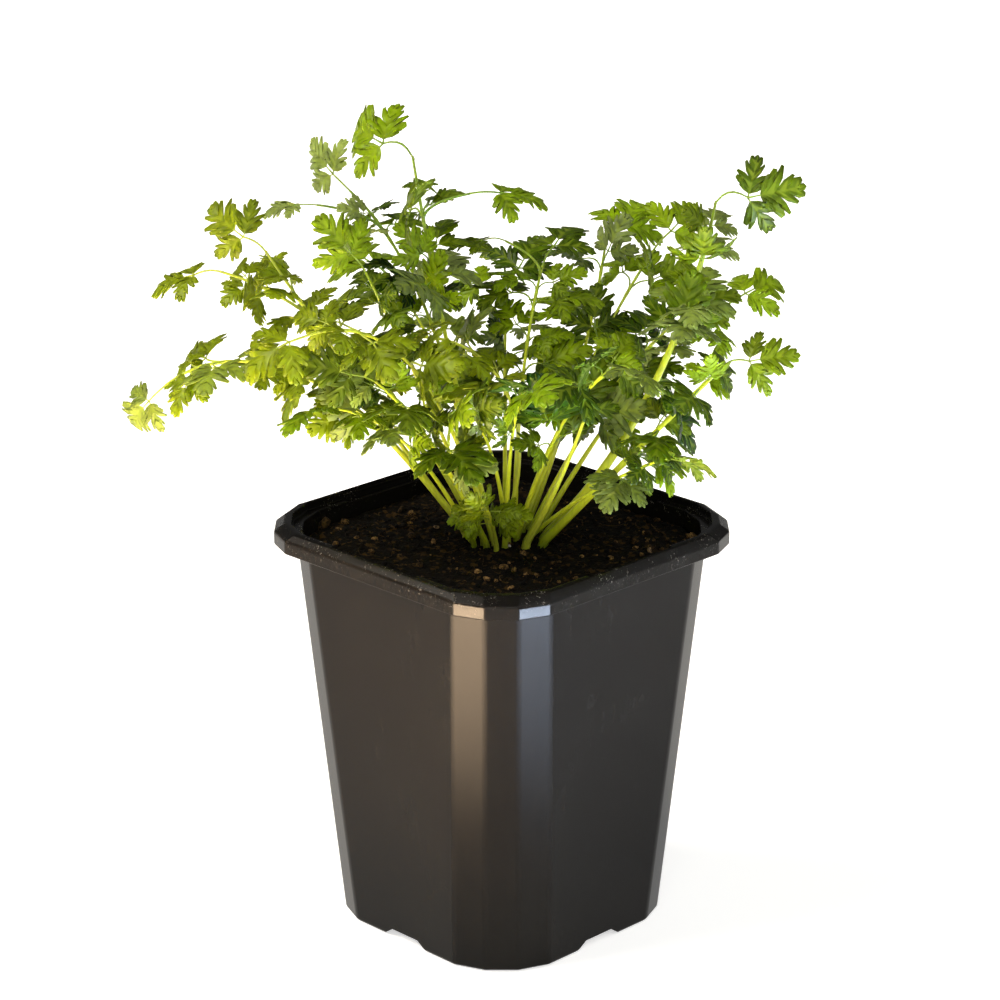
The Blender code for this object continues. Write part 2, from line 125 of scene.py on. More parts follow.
# To the right and away as the photo's viewer sees them, turned into the part's frame
def planPoint(right, away):
    return Matrix.Rotation(viewerTurn, 2) @ Vector((right, away))


def outwardOf(heading):
    return Vector((*planPoint(math.cos(heading), math.sin(heading)), 0))


towardsViewer = Vector((*planPoint(0, -1), 0))


def deselectAll():
    for item in bpy.context.selected_objects:
        item.select_set(False)


def activate(item):
    deselectAll()
    item.select_set(True)
    bpy.context.view_layer.objects.active = item


def applyModifier(item, kind, **settings):
    activate(item)
    modifier = item.modifiers.new(kind.title(), kind)
    for key, value in settings.items():
        setattr(modifier, key, value)
    bpy.ops.object.modifier_apply(modifier=modifier.name)


def cutWith(item, cutter, operation="DIFFERENCE"):
    applyModifier(item, "BOOLEAN", operation=operation, solver="EXACT", object=cutter)
    bpy.data.objects.remove(cutter, do_unlink=True)


def joinAll(items, name):
    activate(items[0])
    for item in items:
        item.select_set(True)
    if len(items) > 1:
        bpy.ops.object.join()
    joined = bpy.context.view_layer.objects.active
    joined.name = name
    return joined


def coordinates(mesh):
    found = np.zeros(len(mesh.vertices) * 3)
    mesh.vertices.foreach_get("co", found)
    return found.reshape(-1, 3)


def setCoordinates(mesh, places):
    mesh.vertices.foreach_set("co", np.asarray(places, float).ravel())
    mesh.update()


def paintPoints(mesh, name, values):
    layer = mesh.attributes.get(name) or mesh.attributes.new(name, "FLOAT", "POINT")
    layer.data.foreach_set("value", np.resize(np.asarray(values, np.float32), len(mesh.vertices)))


# The values that paintPoints gave
def paintedPoints(mesh, name):
    values = np.zeros(len(mesh.vertices))
    mesh.attributes[name].data.foreach_get("value", values)
    return values


# A grid primitive whose vertices are laid out by place(across, along), both from 0 to 1
def laidGrid(name, columns, rows, place):
    deselectAll()
    bpy.ops.mesh.primitive_grid_add(x_subdivisions=columns, y_subdivisions=rows, size=1, location=(0, 0, 0))
    item = bpy.context.active_object
    item.name = name
    for vertex in item.data.vertices:
        vertex.co = place(vertex.co.x + 0.5, vertex.co.y + 0.5)
    return item


def linkItem(name, data):
    item = bpy.data.objects.new(name, data)
    bpy.context.scene.collection.objects.link(item)
    return item


def editAll(item):
    activate(item)
    bpy.ops.object.mode_set(mode="EDIT")
    bpy.ops.mesh.select_all(action="SELECT")


# Leaves edit mode with every face pointing outwards
def leaveOutwards():
    bpy.ops.mesh.select_all(action="SELECT")
    bpy.ops.mesh.normals_make_consistent(inside=False)
    bpy.ops.object.mode_set(mode="OBJECT")


def wear(item, *materials):
    for material in materials:
        item.data.materials.append(material)


def finishPiece(piece, slotName, *nodes):
    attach(piece, "root")
    if nodes:
        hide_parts(*nodes)
    return piece


# The pot's outline: a square whose corners are cut by three equal facets

def facetedSquare(half, facet):
    turns = [math.radians(degrees) for degrees in (22.5, 45, 67.5)]
    cut = facet * sum(math.sin(turn) for turn in turns)
    corner = [Vector((half, half - cut))]
    for turn in turns:
        corner.append(corner[-1] + facet * Vector((-math.sin(turn), math.cos(turn))))
    quarter = Matrix.Rotation(math.pi / 2, 2)
    outline = []
    for _ in range(4):
        outline += corner
        corner = [quarter @ point for point in corner]
    return outline


# Pot

pot = {
    "rimHalf": 55 * mm, "rimFacet": 9.7 * mm, "bodyTopHalf": 50.4 * mm, "bodyFootHalf": 41.3 * mm,
    "bodyFacet": 9.9 * mm, "footRound": 0.8 * mm, "wall": 1.4 * mm, "floorThick": 1.5 * mm,
    "bandBottom": 119.4 * mm, "bandTop": 123.5 * mm, "bandThick": 1.2 * mm, "flangeUnder": 121.6 * mm,
    "rimTop": 125.9 * mm, "rimCrown": 0.1 * mm, "rimChamfer": 2.2 * mm, "lipHalf": 51.3 * mm,
    "ledgeHeight": 123.4 * mm, "ledgeCutWidth": 35 * mm, "ledgeCutHeight": 122.7 * mm, "lipSkin": 0.05 * mm,
    "lipCut": 1.3 * mm, "lipCutDepth": 1.2 * mm, "lipCutIn": 2 * mm, "cutOver": 3 * mm,
    "notchWidth": 21 * mm, "notchHeight": 2.9 * mm, "notchSlope": 5 * mm, "notchDepth": 17 * mm,
    "notchBelow": 0.7 * mm, "tunnelFoot": 0.4 * mm, "drainRadius": 3.2 * mm, "drainSides": 24,
    "drainInset": 10 * mm, "drillLength": 12 * mm, "edgeRound": 1.2 * mm, "edgeSteps": 4,
    "crispShare": 0.35, "crownShare": 0.7, "levelPlay": 0.01 * mm, "crownPlay": 0.1 * mm, "sharpAngle": 24,
}


def bodyHalfAt(height):
    return pot["bodyFootHalf"] + (pot["bodyTopHalf"] - pot["bodyFootHalf"]) * height / pot["flangeUnder"]


def potLevels():
    inside = bodyHalfAt(pot["ledgeHeight"]) - pot["wall"]
    bandInside = pot["rimHalf"] - pot["bandThick"]
    return [
        (pot["bodyFootHalf"] - pot["footRound"], pot["bodyFacet"], 0),
        (pot["bodyFootHalf"], pot["bodyFacet"], pot["footRound"]),
        (pot["bodyTopHalf"], pot["bodyFacet"], pot["flangeUnder"]),
        (bandInside, pot["rimFacet"], pot["flangeUnder"]),
        (bandInside, pot["rimFacet"], pot["bandBottom"]),
        (pot["rimHalf"], pot["rimFacet"], pot["bandBottom"]),
        (pot["rimHalf"], pot["rimFacet"], pot["bandTop"]),
        (pot["rimHalf"] - pot["rimChamfer"], pot["rimFacet"], pot["rimTop"] - pot["rimCrown"]),
        (pot["lipHalf"], pot["rimFacet"], pot["rimTop"]),
        (pot["lipHalf"], pot["rimFacet"], pot["ledgeHeight"]),
        (inside, pot["bodyFacet"], pot["ledgeHeight"]),
        (bodyHalfAt(pot["floorThick"]) - pot["wall"], pot["bodyFacet"], pot["floorThick"]),
    ]


# A block that runs in from one side's foot, with sloping flanks; or a plain one for the ledge
def sideBar(side, width, topWidth, bottom, top, start, end):
    deselectAll()
    bpy.ops.mesh.primitive_cube_add(size=1)
    bar = bpy.context.active_object
    turn = Matrix.Rotation(side * math.pi / 2, 3, "Z")
    for vertex in bar.data.vertices:
        high = vertex.co.z > 0
        spread = (topWidth if high else width) / 2
        along = end if vertex.co.x > 0 else start
        vertex.co = turn @ Vector((along, math.copysign(spread, vertex.co.y), top if high else bottom))
    return bar


# The tunnel over a foot notch, the notch, the cut in the ledge and the cut in the lip:
# operation, width below and above, bottom, top, and start and end from the pot's axis
def sideCuts():
    start, foot, lip = pot["bodyFootHalf"] - pot["notchDepth"], pot["bodyFootHalf"], pot["lipHalf"]
    wall, width, slope = pot["wall"], pot["notchWidth"], 2 * pot["notchSlope"]
    ledge, over = pot["ledgeCutWidth"], pot["cutOver"]
    return [
        ("UNION", width + 2 * wall, width + 2 * wall - slope, pot["tunnelFoot"], pot["notchHeight"] + wall,
         start - wall, foot - wall / 2),
        ("DIFFERENCE", width, width - slope, -pot["notchBelow"], pot["notchHeight"], start, foot + over),
        ("DIFFERENCE", ledge, ledge, pot["ledgeCutHeight"], pot["rimTop"] + over,
         bodyHalfAt(pot["ledgeHeight"]) - wall - over, lip - pot["lipSkin"]),
        ("DIFFERENCE", ledge, ledge, pot["rimTop"] - pot["lipCutDepth"], pot["rimTop"] + over,
         lip - pot["lipCutIn"], lip + pot["lipCut"]),
    ]


def drainDrill(side):
    deselectAll()
    bpy.ops.mesh.primitive_cylinder_add(vertices=pot["drainSides"], radius=pot["drainRadius"],
                                        depth=pot["drillLength"])
    drill = bpy.context.active_object
    inset = Matrix.Translation((pot["bodyFootHalf"] - pot["drainInset"], 0, 0))
    drill.data.transform(Matrix.Rotation(side * math.pi / 2, 4, "Z") @ inset)
    return drill


# The body's upright edges are wide and soft, those round the rim's crown less so, the others small
def softenEdges(made):
    mesh = made.data
    weights = mesh.attributes.new("bevel_weight_edge", "FLOAT", "EDGE")
    for edge in mesh.edges:
        first, second = [mesh.vertices[index].co for index in edge.vertices]
        rise, out = abs(first.z - second.z), max(abs(first.x), abs(first.y))
        steep = rise > pot["rimTop"] / 2
        high = rise < pot["levelPlay"] and first.z > pot["bandTop"] - pot["crownPlay"]
        crown = high and out > pot["lipHalf"] + mm
        weights.data[edge.index].value = 1 if steep else pot["crownShare"] if crown else pot["crispShare"]
    applyModifier(made, "BEVEL", width=pot["edgeRound"], segments=pot["edgeSteps"], limit_method="WEIGHT",
                  profile=0.5)


def buildPot():
    deselectAll()
    bpy.ops.mesh.primitive_circle_add(vertices=16, radius=pot["bodyFootHalf"], fill_type="NGON")
    made = bpy.context.active_object
    made.name = "pot_fine"
    editAll(made)
    for number, (half, facet, height) in enumerate(potLevels()):
        if number:
            bpy.ops.mesh.extrude_region_move()
        shape = bmesh.from_edit_mesh(made.data)
        moved = sorted((vertex for vertex in shape.verts if vertex.select),
                       key=lambda vertex: math.atan2(vertex.co.y, vertex.co.x))
        wanted = sorted(facetedSquare(half, facet), key=lambda point: math.atan2(point.y, point.x))
        for vertex, point in zip(moved, wanted):
            vertex.co = (*point, height)
        bmesh.update_edit_mesh(made.data)
    leaveOutwards()
    softenEdges(made)
    for side in range(4):
        for operation, *sizes in sideCuts():
            cutWith(made, sideBar(side, *sizes), operation)
        cutWith(made, drainDrill(side))
    activate(made)
    bpy.ops.object.shade_smooth_by_angle(angle=math.radians(pot["sharpAngle"]))
    applyModifier(made, "WEIGHTED_NORMAL", keep_sharp=True, weight=80)
    made.data.materials.clear()
    wear(made, potPlastic())
    return finishPiece(made, "pot_plastic", "pot")


# Injection-moulded polypropylene, dark grey and satin: soft wide highlights, a fine grain and dust on the rim
def potPlastic():
    made, add, shader, place = newMaterial("satin grey polypropylene")
    cloud = add("TexNoise", {"Vector": place, "Scale": features(30), "Detail": 5.0, "Roughness": 0.6})
    drawn = add("Mapping", {"Vector": place, "Scale": (1, 1, 0.12)})
    streak = add("TexNoise", {"Vector": drawn, "Scale": features(2.2), "Detail": 3.0})
    base = add("ValToRGB", {"Fac": cloud, "stops": [(0.3, "#0a0908"), (0.7, "#100f0d")]})
    base = add("Mix", {**mixed, 0: add("Math", {**times, 0: streak, 1: 0.2}), 6: base, 7: "#23201d"}, 2)
    height = add("SeparateXYZ", {0: place}, 2)
    nearRim = add("MapRange", {"Value": height, "From Min": 0.119, "From Max": 0.124})
    speck = add("TexNoise", {"Vector": place, "Scale": features(0.9), "Detail": 6.0, "Roughness": 0.75})
    patch = add("TexNoise", {"Vector": place, "Scale": features(9), "Detail": 3.0})
    flecks = add("ValToRGB", {"Fac": speck, "stops": [(0.58, 0.0), (0.66, 1.0)]})
    patches = add("ValToRGB", {"Fac": patch, "stops": [(0.45, 0.0), (0.7, 1.0)]})
    dust = add("Math", {**times, 0: add("Math", {**times, 0: nearRim, 1: flecks}), 1: patches})
    base = add("Mix", {**mixed, 0: add("Math", {**times, 0: dust, 1: 0.75}), 6: base, 7: "#a29c90"}, 2)
    satin = add("MapRange", {"Value": speck, "To Min": 0.18, "To Max": 0.26})
    grain = add("TexNoise", {"Vector": place, "Scale": features(0.5), "Detail": 2.0})
    setNode(shader, {
        "Base Color": base, "IOR": 1.49, "Specular IOR Level": 0.078,
        "Roughness": add("Math", {**plus, 0: satin, 1: add("Math", {**times, 0: dust, 1: 0.3})}),
        "Normal": add("Bump", {"Height": grain, "Strength": 0.12, "Distance": 0.1 * mm}),
    })
    return made


# Soil

soil = {
    "top": 117 * mm, "gap": 0.3 * mm, "sideGap": 0.4 * mm, "cells": 170, "seed": 11, "scatterReach": 1.1,
    "lump": 1.9 * mm, "clod": 9 * mm, "crumb": 2.2 * mm, "fineness": 2.7,
    "level": 0.5, "clodShare": 0.45, "crumbShare": 0.45, "fineShare": 0.28,
}


def soilHeight(x, y):
    broad = noise.noise(Vector((x / soil["clod"], y / soil["clod"], 3.1)))
    crumbs = noise.noise(Vector((x / soil["crumb"], y / soil["crumb"], 7.7)))
    fine = noise.noise(Vector((x / soil["crumb"] * soil["fineness"], y / soil["crumb"] * soil["fineness"], 1.3)))
    relief = soil["level"] + soil["clodShare"] * broad + soil["crumbShare"] * abs(crumbs) + soil["fineShare"] * fine
    return soil["top"] + soil["lump"] * relief


def soilHalfAt(height):
    return bodyHalfAt(height) - pot["wall"] - soil["sideGap"]


soilEdge = facetedSquare(soilHalfAt(soil["top"]), pot["bodyFacet"])


def outlineReach(outline, heading):
    direction = levelDirection(heading)
    for first, second in zip(outline, outline[1:] + outline[:1]):
        edge = second - first
        spread = direction.x * edge.y - direction.y * edge.x
        if abs(spread) < 1e-12:
            continue
        reach = (first.x * edge.y - first.y * edge.x) / spread
        share = (first.x * direction.y - first.y * direction.x) / spread
        if reach > 0 and -1e-6 <= share <= 1 + 1e-6:
            return reach
    raise ValueError("the outline has a gap")


def buildSoil():
    low = pot["floorThick"] + pot["notchHeight"] + pot["wall"] + soil["gap"]
    shrink = soilHalfAt(low) / soilHalfAt(soil["top"])

    def place(across, along):
        x, y = 2 * across - 1, 2 * along - 1
        reach = max(abs(x), abs(y))
        if reach < 1e-9:
            return Vector((0, 0, soilHeight(0, 0)))
        heading = math.atan2(y, x)
        point = outlineReach(soilEdge, heading) * reach * levelDirection(heading)
        return Vector((*point, soilHeight(*point)))

    made = laidGrid("soil_fine", soil["cells"], soil["cells"], place)
    editAll(made)
    bpy.ops.mesh.region_to_loop()
    bpy.ops.mesh.extrude_edges_move()
    shape = bmesh.from_edit_mesh(made.data)
    for vertex in shape.verts:
        if vertex.select:
            vertex.co = (vertex.co.x * shrink, vertex.co.y * shrink, low)
    bmesh.update_edit_mesh(made.data)
    bpy.ops.mesh.edge_face_add()
    leaveOutwards()
    bpy.ops.object.shade_smooth()
    wear(made, pottingSoil())
    return finishPiece(made, "soil_earth", "soil")


# Peat-based potting soil, damp: nearly black, matt, with brown fibres and crumbs
def pottingSoil():
    made, add, shader, place = newMaterial("damp potting soil")
    clods = add("TexNoise", {"Vector": place, "Scale": features(5), "Detail": 8.0, "Roughness": 0.7})
    grains = add("TexVoronoi", {"Vector": place, "Scale": features(1.4)}, "Color")
    base = add("ValToRGB", {"Fac": clods, "stops": [(0.35, "#020201"), (0.54, "#080502"), (0.70, "#1c130a")]})
    chosen = add("ValToRGB", {"Fac": add("SeparateColor", {0: grains}), "stops": [(0.80, 0.0), (0.92, 1.0)]})
    base = add("Mix", {**mixed, 0: add("Math", {**times, 0: chosen, 1: 0.45}), 6: base, 7: "#4a3616"}, 2)
    fine = add("TexNoise", {"Vector": place, "Scale": features(0.8), "Detail": 5.0, "Roughness": 0.8})
    setNode(shader, {
        "Base Color": base, "Roughness": 0.95, "Specular IOR Level": 0.12,
        "Normal": add("Bump", {"Height": fine, "Strength": 0.9, "Distance": 0.6 * mm}),
    })
    return made


# Crumbs of clay, bark and grit: warm browns and tans with a dry, matt skin
def dryCrumb():
    made, add, shader, place = newMaterial("dry clay and bark crumb")
    tone = add("Attribute", {"attribute_name": "tone"}, "Fac")
    base = add("ValToRGB", {"Fac": tone, "stops": [(0.0, "#060402"), (0.4, "#1a1209"), (0.62, "#4d391c"),
                                                   (0.82, "#98774a"), (1.0, "#dcd6c8")]})
    mottle = add("TexNoise", {"Vector": place, "Scale": features(0.9), "Detail": 6.0, "Roughness": 0.75})
    shade = add("ValToRGB", {"Fac": mottle, "stops": [(0.43, 0.1), (0.6, 1.15)]})
    setNode(shader, {
        "Base Color": add("Mix", {**tinted, 6: base, 7: shade}, 2), "Roughness": 0.9, "Specular IOR Level": 0.15,
        "Normal": add("Bump", {"Height": mottle, "Strength": 1.0, "Distance": 0.7 * mm}),
    })
    return made


# Crumbs and lumps on the soil; sizes in mm
crumb = {
    "kinds": 8, "rounding": 0.8, "roughness": 0.55, "stretch": [(0.65, 1), (0.5, 0.85)],
    "count": 820, "reach": 0.975, "small": (0.3, 0.8), "middling": (0.8, 1.4), "middlingEach": 6,
    "large": (0.9, 1.7), "largeEach": 16, "largeTone": (0.5, 0.85), "toneSkew": 2.2, "toneReach": 0.8,
    "squash": [(0.75, 1.15), (0.6, 1), (0.5, 0.9)], "rise": 0.25,
    # as they lie in the photo: to the viewer's right, away from the viewer, radius, tone
    "lumps": [(-53.8, 13.4, 2.9, 0.58), (-47.3, 16, 1.9, 0.66), (-27, 5, 1.9, 0.52), (-38, 2.7, 1.5, 0.78),
              (-27.5, 24, 1.4, 0.76), (39.3, -1, 1.8, 0.6), (44, 0.5, 1.6, 0.7), (43.8, -7.5, 2.0, 0.84),
              (57, 4.5, 2.1, 0.78), (52, 20, 2.8, 0.3), (-4.4, -33, 1.5, 0.78), (-1.6, -34, 1.3, 0.7),
              (21.6, -31, 1.2, 0.68), (15, -18, 1.5, 0.66), (-30, -11.6, 1.3, 0.6), (2, -5, 1.2, 1.0)],
}


# One crumb: a cube cut into a few faces, pushed out of true
def crumbModel(number, chance):
    deselectAll()
    bpy.ops.mesh.primitive_cube_add(size=2)
    made = bpy.context.active_object
    made.name = f"crumb_model_{number}"
    editAll(made)
    bpy.ops.mesh.subdivide(number_cuts=1, smoothness=crumb["rounding"])
    bpy.ops.transform.vertex_random(offset=crumb["roughness"], seed=number + 1)
    bpy.ops.object.mode_set(mode="OBJECT")
    stretch = Vector((1, *[chance.uniform(*span) for span in crumb["stretch"]]))
    places = coordinates(made.data)
    setCoordinates(made.data, places / np.linalg.norm(places, axis=1).mean() * np.array(stretch))
    bpy.ops.object.shade_smooth()
    paintPoints(made.data, "tone", 0)
    return made


def crumbAt(model, x, y, size, tone, chance):
    copy = linkItem("crumb", model.data.copy())
    turn = chance.uniform(0, fullTurn)
    turned = Matrix.Rotation(turn, 4, Vector((chance.uniform(-1, 1), chance.uniform(-1, 1), 1)))
    squash = Matrix.Diagonal((*[chance.uniform(*span) for span in crumb["squash"]], 1))
    place = Matrix.Translation((x, y, soilHeight(x, y) + crumb["rise"] * size))
    copy.data.transform(place @ Matrix.Scale(size, 4) @ turned @ squash)
    paintPoints(copy.data, "tone", tone)
    return copy


def onSoil(chance, reachShare):
    while True:
        x, y = chance.uniform(-1, 1), chance.uniform(-1, 1)
        distance = math.hypot(x, y) * soilEdge[0].x * soil["scatterReach"]
        heading = math.atan2(y, x)
        if distance < outlineReach(soilEdge, heading) * reachShare:
            return distance * math.cos(heading), distance * math.sin(heading)


def finishScatter(made, name):
    joined = joinAll(made, name)
    wear(joined, dryCrumb())
    return finishPiece(joined, "soil_earth")


def scatterCrumbs():
    chance = random.Random(soil["seed"])
    models = [crumbModel(number, chance) for number in range(crumb["kinds"])]
    made = []
    for number in range(crumb["count"]):
        x, y = onSoil(chance, crumb["reach"])
        size = chance.uniform(*crumb["small" if number % crumb["middlingEach"] else "middling"]) * mm
        tone = chance.random() ** crumb["toneSkew"] * crumb["toneReach"]
        if number % crumb["largeEach"] == 0:
            size, tone = chance.uniform(*crumb["large"]) * mm, chance.uniform(*crumb["largeTone"])
        made.append(crumbAt(models[number % len(models)], x, y, size, tone, chance))
    for number, (right, away, size, tone) in enumerate(crumb["lumps"]):
        x, y = planPoint(right, away) * mm
        made.append(crumbAt(models[number % len(models)], x, y, size * mm, tone, chance))
    for model in models:
        bpy.data.objects.remove(model, do_unlink=True)
    return finishScatter(made, "soil_crumbs")


# Peat fibres: short thin bent threads that lie on the soil; length and radius in mm
fibre = {
    "count": 120, "reach": 0.9, "length": (3, 11), "bend": (-1.4, 1.4), "radius": (0.12, 0.28), "taper": 0.5,
    "steps": 6, "sides": 4, "rise": 0.3 * mm, "tone": (0.2, 0.66),
}


def scatterFibres():
    chance = random.Random(soil["seed"] + 1)
    made = []
    for number in range(fibre["count"]):
        x, y = onSoil(chance, fibre["reach"])
        heading = chance.uniform(0, fullTurn)
        length = chance.uniform(*fibre["length"]) * mm
        bend = chance.uniform(*fibre["bend"])
        radius = chance.uniform(*fibre["radius"]) * mm
        route, radii = [], []
        for step in range(fibre["steps"] + 1):
            share = step / fibre["steps"] - 0.5
            turned = heading + bend * share
            px, py = x + math.cos(turned) * share * length, y + math.sin(turned) * share * length
            route.append(Vector((px, py, soilHeight(px, py) + fibre["rise"])))
            radii.append(radius * (1 - abs(2 * share) * fibre["taper"]))
        thread = tubeAlong(f"fibre_{number}", route, radii, fibre["sides"])
        paintPoints(thread.data, "tone", chance.uniform(*fibre["tone"]))
        made.append(thread)
    return finishScatter(made, "soil_fibres")


# A closed tube along a route: a grid rolled up, its seam merged and its ends filled
def tubeAlong(name, route, radii, sides, ridge=0.0, ridges=1):
    rows = len(route) - 1
    frames = []
    side = None
    for number, point in enumerate(route):
        ahead = (route[min(number + 1, rows)] - route[max(number - 1, 0)]).normalized()
        if side is None:
            side = ahead.orthogonal().normalized()
        side = (side - ahead * side.dot(ahead)).normalized()
        frames.append((point, side, ahead.cross(side)))

    def place(across, along):
        row = round(along * rows)
        point, first, second = frames[row]
        angle = 2 * math.pi * across
        radius = radii[row] * (1 + ridge * math.cos(ridges * angle))
        return point + radius * (math.cos(angle) * first + math.sin(angle) * second)

    made = laidGrid(name, sides, rows, place)
    editAll(made)
    bpy.ops.mesh.remove_doubles(threshold=0.002 * mm)
    bpy.ops.mesh.select_all(action="DESELECT")
    bpy.ops.mesh.select_non_manifold()
    bpy.ops.mesh.edge_face_add()
    leaveOutwards()
    bpy.ops.object.shade_smooth()
    return made


buildPot()
print("pot moulded")
buildSoil()
scatterCrumbs()
scatterFibres()
print("soil filled in, with crumbs and fibres")

# Growth plan: the same stems and leaves, from the same values, as in the part

grow = {
    "crownRight": 1 * mm, "crownAway": 4 * mm, "crownRadius": 12 * mm, "crownLean": 42, "stemSink": 8 * mm,
    "stemRise": 1.5 * mm, "holePlay": 0.35 * mm, "holeSides": 6, "holeWall": 0.3 * mm, "footStride": 0.5 * mm,
    "footTries": 400, "turnTries": [0, 4, -4, 8, -8, 12, -12], "leanTries": [0, 3, -3, 6, -6],
    "stemClear": 0.6 * mm, "stemSteps": 48, "stemPoints": 9, "stemTipRadius": 0.6 * mm, "stemTaper": 0.7,
    "stemBendIn": 3 * mm, "weldGap": 0.01 * mm, "bladeThick": 0.8 * mm, "bladeClear": 0.35 * mm,
    "stalkHalf": 0.6 * mm, "stalkFoot": 3 * mm, "stalkShare": 0.36, "topStalkShare": 0.20, "sideShare": 0.44,
    "sideAngle": math.radians(66), "sideArch": 0.5, "pairAngle": math.radians(58), "pairEnd": 0.84,
    "lowPairSize": 1.1, "highPairSize": 0.9, "tipSink": 1 * mm, "upShare": 0.6, "outShare": 0.25,
    "viewerShare": 0.45, "tiltShare": 0.45, "soilClear": 3 * mm, "seed": 7,
    "sizes": (0.88, 1.12), "yaws": (-9, 9), "lifts": (-4, 14), "droops": (20, 55),
}
topTeeth = [(0.07, 0.02), (0.38, 0.14), (0.50, 0.40), (0.19, 0.45), (0.23, 0.82), (0.07, 1.0)]
sideTeeth = [(0.42, 0.14), (0.50, 0.42), (0.18, 0.46), (0.14, 0.96), (-0.14, 0.94), (-0.29, 0.50)]

# heading in degrees from the viewer's right; leans from upright at the soil and the tip; lengths in mm
Frond = namedtuple("Frond", "name tint heading leanFoot leanTip bend length radius nod pairs start leaf")
fronds = [
    Frond("frond_tall_right", "green", 352, 44, 10, 0.8, 118, 2.1, 66, 2, 0.64, 28),
    Frond("frond_far_right", "green", 342, 42, 42, 1.0, 82, 1.7, 30, 2, 0.60, 25),
    Frond("stem_cut", "lime", 310, 36, 24, 1.0, 52, 1.5, 0, 0, 1.0, 0),
    Frond("frond_far_left", "lime", 192, 36, 128, 2.8, 117, 1.4, 5, 2, 0.58, 25),
    Frond("frond_left_high", "lime", 172, 28, 76, 1.9, 114, 1.2, 20, 2, 0.60, 26),
    Frond("frond_left_light", "lime", 187, 34, 32, 1.0, 107, 1.1, 20, 2, 0.60, 25),
    Frond("frond_up_left", "green", 152, 16, 54, 3.0, 113, 1.1, 0, 2, 0.66, 22),
    Frond("frond_tall", "green", 162, 15, 9, 1.0, 118, 1.3, 58, 2, 0.64, 26),
    Frond("frond_tall_small", "green", 200, 19, 26, 1.0, 94, 1.0, 10, 2, 0.62, 24),
    Frond("frond_lime_arch", "lime", 215, 21, 95, 3.0, 104, 1.1, 0, 2, 0.62, 28),
    Frond("frond_low_left", "green", 208, 28, 74, 2.2, 68, 1.0, 0, 1, 0.70, 26),
    Frond("frond_low_right", "green", 330, 48, 66, 1.0, 60, 0.9, 0, 1, 0.80, 21),
    Frond("frond_right_mid", "green", 15, 27, 52, 2.0, 76, 1.1, 10, 2, 0.50, 27),
    Frond("frond_right_back_high", "green", 38, 27, 44, 2.0, 94, 1.1, 10, 2, 0.60, 27),
    Frond("frond_right_back", "green", 52, 38, 14, 1.0, 90, 1.1, 30, 1, 0.66, 29),
    Frond("frond_right_front", "green", 318, 20, 55, 2.0, 74, 1.1, 10, 2, 0.55, 27),
    Frond("frond_arch_over", "lime", 180, -14, 100, 1.9, 82, 1.0, 0, 1, 0.72, 27),
    Frond("frond_left_mid", "green", 222, 28, 50, 2.0, 74, 1.1, 10, 2, 0.55, 27),
    Frond("frond_front_left", "green", 245, 16, 62, 2.0, 62, 1.0, 10, 1, 0.55, 28),
    Frond("frond_front", "green", 280, 12, 58, 2.0, 66, 1.1, 10, 2, 0.50, 27),
    Frond("frond_centre", "green", 60, 3, 30, 2.0, 82, 1.1, 20, 2, 0.50, 27),
    Frond("frond_back_left", "green", 128, 24, 62, 2.0, 86, 1.0, 10, 1, 0.66, 29),
    Frond("frond_back", "green", 90, 26, 60, 2.0, 84, 1.0, 10, 1, 0.55, 31),
    Frond("frond_back_right", "green", 20, 33, 62, 2.0, 88, 1.1, 0, 1, 0.66, 28),
    Frond("leaf_young", "green", 262, 34, 60, 1.2, 27, 0.9, 10, 1, 0.60, 15),
]
nudgeTurns = [(0, 0, 0), (14, 0, 0), (-14, 0, 0), (0, 16, 0), (0, -16, 0), (0, 0, 28), (0, 0, -28),
              (26, 10, 15), (-26, -10, -15), (30, -12, -20), (-30, 14, 20), (12, 25, 40), (12, -25, -40)]
nudgeSizes = [1, 0.88, 0.76, 0.66]

Stem = namedtuple("Stem", "frond foot heading route directions")
Leaf = namedtuple("Leaf", "frame length droop share side")
Probe = namedtuple("Probe", "whole far low")


def stemRoute(frond, foot, heading, leanShift):
    stride = frond.length * mm / grow["stemSteps"]
    sink = Vector((0, 0, grow["stemSink"]))
    point = Vector((*foot, soil["top"]))
    route = [point - sink, point - sink / 2]
    point = point + Vector((0, 0, grow["stemRise"]))
    route.append(point)
    directions = [upright] * 3
    ahead = outwardOf(heading)
    for step in range(grow["stemSteps"]):
        share = (step + 0.5) / grow["stemSteps"]
        lean = frond.leanFoot + leanShift + (frond.leanTip - frond.leanFoot) * share ** frond.bend
        lean = math.radians(lean) * min(1, (step + 1) * stride / grow["stemBendIn"])
        direction = ahead * math.sin(lean) + Vector((0, 0, math.cos(lean)))
        point = point + direction * stride
        route.append(point)
        directions.append(direction)
    return route, directions


def radiusAt(frond, share):
    thin = min(grow["stemTipRadius"], frond.radius * mm)
    return frond.radius * mm + (thin - frond.radius * mm) * share ** grow["stemTaper"]


def holeRadius(frond):
    return (frond.radius * mm + grow["holePlay"]) / math.cos(math.pi / grow["holeSides"])


def footFor(frond, stems):
    reach = grow["crownRadius"] * min(1, max(0, frond.leanFoot) / grow["crownLean"])
    heading = math.radians(frond.heading)
    wish = planPoint(grow["crownRight"] + reach * math.cos(heading), grow["crownAway"] + reach * math.sin(heading))
    golden = math.pi * (3 - math.sqrt(5))
    for step in range(grow["footTries"]):
        away = grow["footStride"] * math.sqrt(step)
        spot = wish + away * levelDirection(step * golden)
        rooms = [(spot - stem.foot).length - holeRadius(frond) - holeRadius(stem.frond) for stem in stems]
        if min(rooms, default=1) > grow["holeWall"]:
            return spot
    raise ValueError("no room in the crown for " + frond.name)


